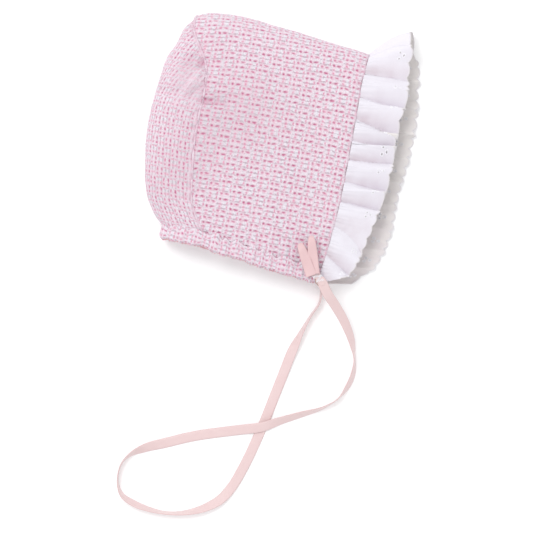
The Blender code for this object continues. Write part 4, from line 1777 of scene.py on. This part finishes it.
@dataclass(frozen=True)
class RuffleMap:
    """Where each spot of the flat eyelet strip lies once it is gathered onto the face edge."""

    form: BonnetForm
    width: float = 0.035
    cloth: float = 0.0005
    lowest: float = 0.0007
    tail: float = 0.006
    fullness: float = 1.6
    flute_rise: float = 0.0082
    gather_rise: float = 0.0030
    crest: float = 0.85
    lean: float = 0.0050
    fold_bulge: float = 0.0036
    tuck: float = 0.0006
    fine_rise: float = 0.0008
    fine_pitch: float = 0.0042
    fine_reach: float = 0.30
    fold_place: float = 0.503
    fold_span: float = 0.022
    scallop_pitch: float = 0.0104
    scallop_depth: float = 0.0023
    scallop_from: float = 0.80
    # Where the flutes' painted shade starts, the share of a flute over which it deepens, and the
    # pitch of its unevenness.
    shade_from: float = 0.51
    shade_turn: float = 0.46
    shade_pitch: float = 0.031
    edge_steps: int = 90
    fold_degrees: int = 6
    probe: float = 0.0002

    def edge(self) -> tuple[Array, Array, Array]:
        """The sewn edge.

        Returns:
            Its points, the directions along it, and the directions out of the bonnet's inside.
        """
        form, bend = self.form, np.radians(np.arange(0, 91, self.fold_degrees))
        near_fold = 1 - form.fold_reach / form.half_girth * (1 - np.sin(bend))
        heights = np.concatenate([np.arange(self.edge_steps) / self.edge_steps, near_fold])
        heights = np.unique(np.round(heights, 9))
        ones = np.ones_like(heights)
        lower = form.side_points(ones, heights, -ones)
        upper = form.side_points(ones, heights, ones)[-2::-1]
        tail = np.array((0.0, -self.tail, 0.0))
        path = np.vstack([lower[:1] + tail, lower, upper, upper[-1:] + tail])
        line = resampled(path, 2 * self.edge_steps + 1)
        along = unit_rows(np.gradient(line, axis=0))
        out = unit_rows(np.cross(along, np.array((1.0, 0.0, 0.0))))
        return line - out * form.wall / 2, along, out

    def length(self) -> float:
        """The flat strip's length."""
        return float(walked(self.edge()[0])[-1]) * self.fullness

    def flutes(self, place: Array, width: Array) -> tuple[Array, Array, Array]:
        """The flutes' wave at each place.

        Args:
            place: Shares of the strip's length.
            width: Shares of its width.

        Returns:
            The turns gone since the last crest, and the crests' rise and lean there.
        """
        places, *columns = np.array(FLUTES).T
        first, last = 2 * places[0] - places[1], 2 * places[-1] - places[-2]
        crests = np.concatenate([[first], places, [last]])
        turns = np.interp(place, crests, np.arange(len(crests)))
        rise, lean, drift = (np.interp(place, places, column) for column in columns)
        return turns - drift * width, rise, lean

    def notch(self, along: Array) -> Array:
        """How far the scalloped edge lies inside the strip's width at each length."""
        lobe = np.abs(np.sin(np.pi * along / self.scallop_pitch))
        return self.scallop_depth * (1 - lobe**0.7)

    def hollow(self, spots: Array) -> Array:
        """How much painted shade each spot of the strip gets, by how deep in a flute's shaded side
        it lies.

        Args:
            spots: The spots.

        Returns:
            The depths, from 0 to 1.
        """
        place, width = spots[:, 0] / self.length(), spots[:, 1] / self.width
        phase = self.flutes(place, width)[0] % 1.0
        shaded = np.clip(phase / self.shade_turn, 0, 1) ** 1.6
        shaded = shaded * (phase < 0.5) * (place > self.shade_from)
        uneven = 0.75 + 0.25 * ripple(spots[:, 0], self.shade_pitch)
        return shaded * uneven * (1 - 0.45 * width**2)

    def points(self, spots: Array) -> Array:
        """Takes spots of the flat strip onto the gathered ruffle.

        Args:
            spots: Each spot's length along the strip and its distance from the sewn edge.

        Returns:
            The points of the cloth's middle surface.
        """
        line, along, out = self.edge()
        place, across = spots[:, 0] / self.length(), spots[:, 1]
        outer = np.clip((across / self.width - self.scallop_from) / (1 - self.scallop_from), 0, 1)
        across = across - self.notch(spots[:, 0]) * outer
        width = across / self.width
        ends = np.linspace(0, 1, len(line))
        base, forth, away = (
            np.stack([np.interp(place, ends, values) for values in rows.T], axis=1)
            for rows in (line, along, out)
        )
        forth, away = unit_rows(forth), unit_rows(away)
        columns = (Column(FRILLS, "place", name) for name in ("fan", "flare", "reach"))
        fan, flare, reach = (column(place) for column in columns)
        fan, flare = np.radians(fan)[:, None], np.radians(flare)[:, None]
        level = np.array((1.0, 0.0, 0.0)) * np.cos(fan) + forth * np.sin(fan)
        stand = level * np.cos(flare) + away * np.sin(flare)
        turns, rise, lean = self.flutes(place, width)
        wave = 2 * np.abs(np.cos(np.pi * turns)) ** self.crest - 1
        swing = (self.gather_rise + (self.flute_rise - self.gather_rise) * width) * rise / 2 * wave
        fading = np.exp(-width / self.fine_reach)
        swing = swing + self.fine_rise / 2 * fading * ripple(spots[:, 0], self.fine_pitch)
        slide = self.lean * lean * (0.25 + 0.75 * width) * (wave + 0.35 * np.sin(TURN * turns))
        bulge = hump(place - self.fold_place, self.fold_span)
        bulge = self.fold_bulge * np.sin(np.pi * width) * bulge
        point = base + stand * (reach * across - self.tuck)[:, None]
        point = point + away * (swing + bulge)[:, None] + forth * slide[:, None]
        point[:, 2] = np.maximum(point[:, 2], self.lowest)
        return point

    def frames(self, spots: Array) -> tuple[Array, Array, Array, Array]:
        """The ruffle's points with the cloth's own directions there.

        Args:
            spots: Spots of the flat strip.

        Returns:
            The points, the directions along and across the strip, and the right side's normals.
        """
        along, across = (
            unit_rows(self.points(spots + step) - self.points(spots - step))
            for step in np.eye(2) * self.probe
        )
        return self.points(spots), along, across, unit_rows(np.cross(along, across))


@dataclass(frozen=True)
class EyeletRuffle:
    """The gathered eyelet strip with its pierced flowers and its stitched, scalloped edge."""

    strip: RuffleMap
    spacing: float = 0.0008
    eyelet_radius: float = 0.00052
    eyelet_spread: float = 0.0023
    eyelet_place: float = 0.74
    eyelet_sides: int = 14
    clear_ring: float = 1.25
    clear_hole: float = 0.93
    ring_radius: float = 0.00112
    ring_steps: int = 24
    edge_inset: float = 0.0004
    edge_step: float = 0.0005
    # Painted shade on the far ruffle's lower end.
    lower_shade: float = 0.38
    lower_to: float = 0.24
    lower_reach: float = 0.16
    ring_stitch: Stitch = Stitch(0.00042, 0.00115, 0.00048, 0.00115, 0.10, Dye.WHITE)
    edge_stitch: Stitch = Stitch(0.00052, 0.0017, 0.00050, 0.00085, 0.08, Dye.LAWN)

    def eyelets(self) -> Array:
        """Places the holes on the flat strip: three round each flute's flower.

        Returns:
            The holes' centres.
        """
        strip, centres = self.strip, []
        length, across = strip.length(), self.eyelet_place * strip.width
        for flute in FLUTES:
            for turn in (90, 210, 330):
                x, y = math.cos(math.radians(turn)), math.sin(math.radians(turn))
                spread = self.eyelet_spread
                centres.append((flute.place * length + spread * x, across + spread * y))
        return np.array(centres)

    def flat_cloth(self) -> tuple[Array, Array]:
        """The flat pierced strip.

        Returns:
            Its spots and its triangles.
        """
        strip, centres = self.strip, self.eyelets()
        length = strip.length()
        columns, rows = round(length / self.spacing), round(strip.width / self.spacing)
        sides = (np.linspace(0, length, columns + 1), np.linspace(0, strip.width, rows + 1))
        spots = np.stack([side.ravel() for side in np.meshgrid(*sides, indexing="ij")], axis=1)
        near = np.linalg.norm(spots[:, None, :] - centres[None, :, :], axis=-1).min(axis=1)
        spots = spots[near > self.clear_ring * self.eyelet_radius]
        angle = TURN * np.arange(self.eyelet_sides) / self.eyelet_sides
        ring = self.eyelet_radius * np.stack([np.cos(angle), np.sin(angle)], axis=1)
        rims = (centres[:, None, :] + ring[None, :, :]).reshape(-1, 2)
        ids = len(spots) + np.arange(len(rims)).reshape(-1, self.eyelet_sides)
        edges = np.stack([ids, np.roll(ids, -1, axis=1)], axis=-1).reshape(-1, 2).tolist()
        scaled = [Vector(spot) for spot in (np.vstack([spots, rims]) * 1000).tolist()]
        made, _, triangles, _, _, _ = delaunay_2d_cdt(scaled, edges, [], 0, 1e-6)
        made = np.array([tuple(spot) for spot in made]) / 1000
        triangles = np.array([tuple(triangle) for triangle in triangles])
        middles = made[triangles].mean(axis=1)
        clear = np.linalg.norm(middles[:, None, :] - centres[None, :, :], axis=-1).min(axis=1)
        return made, triangles[clear > self.clear_hole * self.eyelet_radius]

    def build(self, material: Material) -> Object:
        """Builds the gathered cloth.

        Args:
            material: The cotton's finish.

        Returns:
            The ruffle.
        """
        spots, triangles = self.flat_cloth()
        points, _, _, right = self.strip.frames(spots)
        count, half = len(points), self.strip.cloth / 2
        skin = np.vstack([points + right * half, points - right * half])
        edges = np.vstack([triangles[:, (0, 1)], triangles[:, (1, 2)], triangles[:, (2, 0)]])
        keys = edges[:, 0] * count + edges[:, 1]
        rim = edges[~np.isin(keys, edges[:, 1] * count + edges[:, 0])]
        walls = np.stack([rim[:, 1], rim[:, 0], rim[:, 0] + count, rim[:, 1] + count], axis=1)
        faces = triangles.tolist() + (triangles[:, ::-1] + count).tolist() + walls.tolist()
        mesh = mesh_of("eyelet_ruffle_cloth", skin, faces, np.vstack([spots, spots]))
        # Marks the wrong side, which takes the painted shade colour.
        add_column(mesh, "wrong_side", np.concatenate([np.zeros(count), np.ones(count)]))
        # Painted shade on the far ruffle's lower end, stored with the flutes' painted shade.
        place = spots[:, 0] / self.strip.length()
        lower = self.lower_shade * np.clip((self.lower_to - place) / self.lower_reach, 0, 1)
        add_column(mesh, "hollow", np.concatenate([self.strip.hollow(spots), lower]))
        point_outwards(mesh)
        return finished(mesh, material, "white_cotton", "eyelet_ruffle")

    def embroider(self, row: StitchRow) -> Object:
        """Sews a ring of stitches round every eyelet.

        Args:
            row: Sews the stitches.

        Returns:
            The rings.
        """
        angle = TURN * np.arange(self.ring_steps) / self.ring_steps
        ray = np.stack([np.cos(angle), np.sin(angle)], axis=1)
        lines = []
        for centre in self.eyelets():
            points, along, across, right = self.strip.frames(centre + ray * self.ring_radius)
            lines.append(SeamLine(points, ray[:, :1] * along + ray[:, 1:] * across, right, True))
        rings = row.sew("eyelet_ruffle_rings", lines, self.ring_stitch)
        return kept_on_body(rings, "white_cotton")

    def edge_line(self, row: StitchRow) -> Object:
        """Oversews the scalloped edge.

        Args:
            row: Sews the stitches.

        Returns:
            The edge's stitches.
        """
        strip = self.strip
        along = np.linspace(0, strip.length(), round(strip.length() / self.edge_step))
        spots = np.stack([along, np.full_like(along, strip.width - self.edge_inset)], axis=1)
        points, _, across, right = strip.frames(spots)
        line = SeamLine(points, across, right, False)
        edge = row.sew("eyelet_ruffle_edge", [line], self.edge_stitch)
        return kept_on_body(edge, "white_cotton")

    def dress(self, row: StitchRow, material: Material) -> None:
        """Args:
            row: Sews the stitches.
            material: The cotton's finish.
        """
        cloth = self.build(material)
        stitches = (self.embroider(row), self.edge_line(row))
        flat = (self.strip.length(), self.strip.width)


@dataclass(frozen=True)
class Ribbon:
    """Satin ribbon with rounded edges."""

    width: float = 0.007
    thickness: float = 0.0008
    steps_across: int = 8
    squareness: int = 8

    def swept(self, name: str, line: Array, across: Array, widths: Array) -> Mesh:
        """Lays the ribbon along a line.

        Args:
            name: The mesh's name.
            line: Points of its middle.
            across: The direction from its middle to one edge, at each point.
            widths: Shares of its full width, at each point.

        Returns:
            The closed mesh.
        """
        forth = unit_rows(np.gradient(line, axis=0))
        across = unit_rows(across - forth * (across * forth).sum(axis=1, keepdims=True))
        stand = np.cross(across, forth)
        share = np.sin(np.linspace(-np.pi / 2, np.pi / 2, self.steps_across + 1))
        half = np.sqrt(1 - share**self.squareness) * self.thickness / 2
        share = np.concatenate([share, share[-2:0:-1]])
        half = np.concatenate([half, -half[-2:0:-1]])
        reach = share[None, :] * widths[:, None] * self.width / 2
        grid = line[:, None, :] + across[:, None, :] * reach[..., None]
        grid = grid + stand[:, None, :] * half[None, :, None]
        gone = walked(line)[:, None] + 0 * reach
        cloth = np.stack([gone, share[None, :] * self.width / 2 + 0 * reach], axis=-1)
        mesh = mesh_of(name, grid, tube_faces(*grid.shape[:2]), cloth)
        point_outwards(mesh)
        return mesh


@dataclass(frozen=True)
class TackSpot:
    """Where the bow is tacked to the casing's upper front end."""

    middle: Array
    way: Array
    aside: Array


@dataclass(frozen=True)
class Bow:
    """The bow: a tack of gathered ribbon, two folded loops, white stitches and a brown thread."""

    form: BonnetForm
    ribbon: Ribbon
    tack_length: float = 0.0095
    tack_width: float = 0.005
    tack_thickness: float = 0.0022
    tack_turn: float = 138.0
    tack_inset: float = 0.0028
    tack_drop: float = 0.0012
    loop_rise: float = 0.0032
    root_gap: float = -0.0032
    root_width: float = 1.12
    tip_width: float = 0.34
    round_from: float = 0.40
    tack_shown: float = 0.0135
    tack_shift: float = -0.0022
    tack_spread: float = 0.0074
    tack_rows: int = 64
    tack_sides: int = 72
    end_roundness: float = 0.42
    waist: float = 0.22
    waist_place: float = 0.0006
    waist_reach: float = 0.0016
    fold_depth: float = 0.16
    fold_turns: float = 3.5
    fold_drift: float = 5.0
    loop_sag: float = 0.16
    clearance: float = 0.0014
    steps: int = 120
    stitch_lean: float = 0.002
    stitch_rise: float = 0.0002
    stitch_sag: float = 0.0005
    thread: float = 0.00026
    stitch: Stitch = Stitch(0.00095, 0.0030, 0.00050, 0.00050, 0.18, Dye.WHITE)

    def spot(self, casing_top: float) -> TackSpot:
        """Where the tack lies.

        Args:
            casing_top: Height of the casing's upper face at its front end.

        Returns:
            The tack's middle, and the ways from it to the crown and aside.
        """
        turn = math.radians(self.tack_turn)
        way = np.array((math.cos(turn), math.sin(turn), 0.0))
        zero, one = np.zeros(1), np.ones(1)
        corner_x = float(self.form.face_x(zero, one)[0]) - self.tack_inset
        lift = casing_top + self.form.sewn_gap + self.tack_thickness / 2
        middle = np.array((corner_x, self.form.neck - self.tack_drop, lift))
        return TackSpot(middle, way, np.array((way[1], -way[0], 0.0)))

    def panel_top(self, spot: Array) -> float:
        """The height of the crown band's upper face.

        Args:
            spot: A place seen from above.

        Returns:
            The height there.
        """
        form = self.form
        height = np.clip((spot[1:2] - form.neck) / form.half_girth, 0, 1)
        back, front = form.seam_x(height), form.face_x(height, np.ones(1))
        depth = np.clip((spot[:1] - back) / (front - back), 0, 1)
        return float(form.side_points(depth, height, np.ones(1))[0, 2])

    def loop(self, size: BowLoopSize, spot: TackSpot, material: Material) -> Object:
        """Builds one folded loop.

        Args:
            size: The loop's size and direction.
            spot: Where the tack lies.
            material: The satin's finish.

        Returns:
            The loop.
        """
        turn = math.radians(size.turn)
        root = spot.middle + spot.way * (self.tack_length / 2 + self.root_gap)
        root = root - spot.aside * size.root_shift
        root[2] += self.tack_thickness / 2
        tip = root + size.length * np.array((math.cos(turn), math.sin(turn), 0.0))
        tip[2] = max(self.panel_top(tip) + self.clearance, root[2])
        forth = unit_rows(tip - root)
        across = unit_rows(np.cross(forth, UP))
        up = np.cross(across, forth)
        flat = np.array([(row.along, row.up, 0.0) for row in BOW_LOOP_OUTLINE])
        flat = smooth_line(flat * (size.length, self.loop_rise, 1.0), self.steps)
        line = root + flat[:, :1] * forth + flat[:, 1:2] * up
        gone = np.clip(flat[:, 0] / size.length, 0, 1)
        tip_share = np.clip((gone - self.round_from) / (1 - self.round_from), 0, 1)
        widths = self.root_width + (1 - self.root_width) * np.minimum(2 * gone, 1)
        widths = widths * (self.tip_width + (1 - self.tip_width) * np.sqrt(1 - tip_share**2))
        sag = self.loop_sag * np.sin(TURN * flat[:, 0] / size.length)[:, None]
        mesh = self.ribbon.swept(f"{size.name}_satin", line, across + sag * up, widths)
        return finished(mesh, material, "salmon_satin", size.name)

    def tack(self, spot: TackSpot, material: Material) -> Object:
        """Builds the tack, its satin pulled into folds.

        Args:
            spot: Where the tack lies.
            material: The satin's finish.

        Returns:
            The tack.
        """
        rows, sides = self.tack_rows, self.tack_sides
        turn = np.linspace(0, np.pi, rows + 1)[1:-1, None]
        round_it = TURN * np.arange(sides)[None, :] / sides
        ring = np.abs(np.sin(turn)) ** self.end_roundness
        x = -np.cos(turn) * self.tack_shown / 2 + 0 * round_it
        towards_bow = 0.5 + x / self.tack_shown
        wide = self.tack_width + (self.tack_spread - self.tack_width) * towards_bow
        pinch = 1 - self.waist * hump(x - self.waist_place, self.waist_reach)
        side = np.sign(np.cos(round_it)) * np.abs(np.cos(round_it)) ** 0.8
        folds = np.cos(self.fold_turns * np.pi * side + self.fold_drift * towards_bow)
        fold = 1 + self.fold_depth * folds * ring
        y = ring * side * wide / 2 * pinch
        z = ring * np.sign(np.sin(round_it)) * np.abs(np.sin(round_it)) ** 0.7
        z = z * fold * pinch * self.tack_thickness / 2
        middle = spot.middle + spot.way * self.tack_shift
        grid = middle + x[..., None] * spot.way + y[..., None] * spot.aside
        grid = grid + z[..., None] * UP
        reach = spot.way * self.tack_shown / 2
        poles = np.stack([middle - reach, middle + reach])
        count = grid[..., 0].size
        faces = grid_faces(rows - 1, sides, closed=True).tolist()
        faces += [(count, (i + 1) % sides, i) for i in range(sides)]
        last = (rows - 2) * sides
        faces += [(count + 1, last + i, last + (i + 1) % sides) for i in range(sides)]
        cloth = np.stack([x, y], axis=-1).reshape(-1, 2)
        cloth = np.vstack([cloth, [(-self.tack_shown / 2, 0), (self.tack_shown / 2, 0)]])
        mesh = mesh_of("bow_tack_satin", np.vstack([grid.reshape(-1, 3), poles]), faces, cloth)
        point_outwards(mesh)
        return finished(mesh, material, "salmon_satin", "bow_tack")

    def sew(self, spot: TackSpot, row: StitchRow) -> Object:
        """Tacks the bow down with a few white stitches.

        Args:
            spot: Where the tack lies.
            row: Sews the stitches.

        Returns:
            The stitches.
        """
        share = np.linspace(-1, 1, 9)[:, None]
        height = self.tack_thickness / 2 + self.stitch_rise - self.stitch_sag * share**2
        lines = []
        for shift, slant, wide in TACK_STITCHES:
            forth = self.tack_shift + shift + slant * self.stitch_lean * share
            points = spot.middle + spot.way * forth
            points = points + spot.aside * share * wide + UP * height
            across = unit_rows(spot.way + slant * spot.aside) + 0 * share
            lines.append(SeamLine(points, across, UP + 0 * share, False))
        return kept_on_body(row.sew("bow_tack_stitches", lines, self.stitch), "white_cotton")

    def tail(self, spot: TackSpot) -> Object:
        """Builds the brown thread's end beside the tack.

        Args:
            spot: Where the tack lies.

        Returns:
            The thread.
        """
        bends = (way * spot.way - aside * spot.aside + up * UP for way, aside, up in THREAD_BENDS)
        line = smooth_line(spot.middle + np.array(list(bends)), 40)
        thread = Ribbon(2 * self.thread, 2 * self.thread, 6)
        mesh = thread.swept("bow_thread_tail", line, spot.aside + 0 * line, np.ones(len(line)))
        return finished(mesh, Dye.BROWN.value.material(), "salmon_satin")

    def dress(self, spot: TackSpot, row: StitchRow, material: Material) -> None:
        """Builds the whole bow.

        Args:
            spot: Where the tack lies.
            row: Sews the stitches.
            material: The satin's finish.
        """
        # The loops take the darker copy of the satin, painted shade.
        shaded_loop_satin = SHADED_LOOP_SATIN.material()
        for size in BOW_LOOPS:
            self.loop(size, spot, shaded_loop_satin)
        self.tack(spot, material)
        self.sew(spot, row)
        self.tail(spot)


@dataclass(frozen=True)
class ChinStrap:
    """The ribbon's whole loop, from the tack round to the casing's lower front end."""

    form: BonnetForm
    bow: Bow
    ribbon: Ribbon
    casing_depth: float
    inset: float = 0.0015
    end_roll: float = 82.0
    lead: float = 0.003
    tucked_in: float = 0.0012
    steps: int = 900

    def route(self, spot: TackSpot) -> Array:
        """Even points along the strap, each with its roll in degrees.

        Args:
            spot: Where the bow's tack lies.

        Returns:
            The points: x, y, z and roll.
        """
        form, zero = self.form, np.zeros(1)
        start = spot.middle - spot.way * (self.bow.tack_length / 2 + form.sewn_gap - self.tucked_in)
        lead = start - spot.way * self.lead
        sewn_x = float(form.face_x(zero, zero - 1)[0]) - self.inset
        sewn_y = form.neck - self.casing_depth - 2 * form.sewn_gap
        sewn = (sewn_x, sewn_y, self.ribbon.width / 2 + form.sewn_gap, self.end_roll)
        return smooth_line(np.array([(*start, 0), (*lead, 0), *STRAP_ROUTE, sewn]), self.steps)

    def build(self, spot: TackSpot, material: Material) -> Object:
        """Args:
            spot: Where the bow's tack lies.
            material: The satin's finish.

        Returns:
            The strap.
        """
        rows = self.route(spot)
        line, roll = rows[:, :3], np.radians(rows[:, 3:])
        forth = unit_rows(np.gradient(line, axis=0))
        aside = unit_rows(np.cross(forth, UP))
        stand = np.cross(aside, forth)
        across = aside * np.cos(roll) + stand * np.sin(roll)
        mesh = self.ribbon.swept("chin_strap_satin", line, across, np.ones(len(line)))
        strap = finished(mesh, material, "salmon_satin", "chin_strap")
        length = float(walked(line)[-1])
        LOG.info("chin strap: %.3f m of ribbon", length)
        return strap


@dataclass(frozen=True)
class Studio:
    """The camera straight above, a pale floor, and soft light from the upper left."""

    camera_place: tuple = (0.01008, -0.08875, 1.6)
    camera_turn: float = 12.14
    lens: float = 152.4
    sensor: float = 36.0
    sky: float = 0.94
    sky_colour: tuple = (0.99, 0.99, 1.0, 1)
    lamp_place: tuple = (-0.52, 0.30, 1.25)
    lamp_aim: tuple = (0.0, -0.08, 0.0)
    lamp_size: float = 0.60
    lamp_power: float = 6.8
    floor_size: float = 6.0
    floor_white: tuple = (0.93, 0.93, 0.93)
    floor_glow: float = 0.10

    def camera(self) -> Object:
        """Sets up the scene's camera.

        Returns:
            The camera.
        """
        data = bpy.data.cameras.new("studio_camera")
        data.sensor_width = self.sensor
        data.lens = self.lens
        camera = object_of("studio_camera", data)
        camera.location = self.camera_place
        camera.rotation_euler = (0, 0, math.radians(self.camera_turn))
        bpy.context.scene.camera = camera
        return camera

    def light(self) -> None:
        """Sets up the white surroundings and the soft lamp."""
        world = bpy.data.worlds.new("studio_sky")
        world.use_nodes = True
        backdrop = world.node_tree.nodes["Background"]
        backdrop.inputs["Color"].default_value = self.sky_colour
        backdrop.inputs["Strength"].default_value = self.sky
        bpy.context.scene.world = world
        data = bpy.data.lights.new("studio_lamp", "AREA")
        data.shape = "DISK"
        data.size = self.lamp_size
        data.energy = self.lamp_power
        lamp = object_of("studio_lamp", data)
        lamp.location = self.lamp_place
        aim = Vector(self.lamp_aim) - Vector(self.lamp_place)
        lamp.rotation_euler = aim.to_track_quat("-Z", "Y").to_euler()

    def floor(self) -> Object:
        """Returns:
            The floor.
        """
        half = self.floor_size / 2
        corners = half * np.array([(-1, -1, 0), (1, -1, 0), (1, 1, 0), (-1, 1, 0)])
        mesh = mesh_of("studio_floor", corners, [(0, 1, 2, 3)])
        material, kit = new_material("studio_floor")
        tone = kit.noise(kit.out(kit.node("ShaderNodeTexCoord"), "Object"), 3.0)
        dimmer = tuple(0.99 * part for part in self.floor_white)
        kit.dress(
            {
                "Base Color": kit.blend(tone, self.floor_white, dimmer),
                "Roughness": tone * 0.1 + 0.85,
                "Specular IOR Level": 0.1,
                "Emission Color": (1, 1, 1, 1),
                "Emission Strength": self.floor_glow,
            }
        )
        mesh.materials.append(material)
        floor = object_of("studio_floor", mesh)
        return floor


def main() -> None:
    """Builds every piece of the bonnet and its studio."""
    logging.basicConfig(level=logging.INFO, format="%(name)s: %(message)s")
    studio = Studio()
    studio.camera()
    form, ribbon = BonnetForm(), Ribbon()
    satin = SatinFinish().material()
    casing, bow = NeckCasing(form), Bow(form, ribbon)
    spot = bow.spot(casing.top())
    ChinStrap(form, bow, ribbon, casing.depth).build(spot, satin)
    relief, row = KnitRelief(BlockKnit()), StitchRow()
    knit = KnitFinish().material()
    CrownBand(form).build(relief, knit)
    BackPanel(form).build(relief, knit)
    casing.build(relief, KnitFinish("casing_knit").material())
    casing.serge(row)
    EyeletRuffle(RuffleMap(form)).dress(row, CottonFinish().material())
    bow.dress(spot, row, satin)
    studio.floor()
    studio.light()
    bpy.context.scene.view_settings.view_transform = "Standard"


if __name__ == "__main__":
    main()
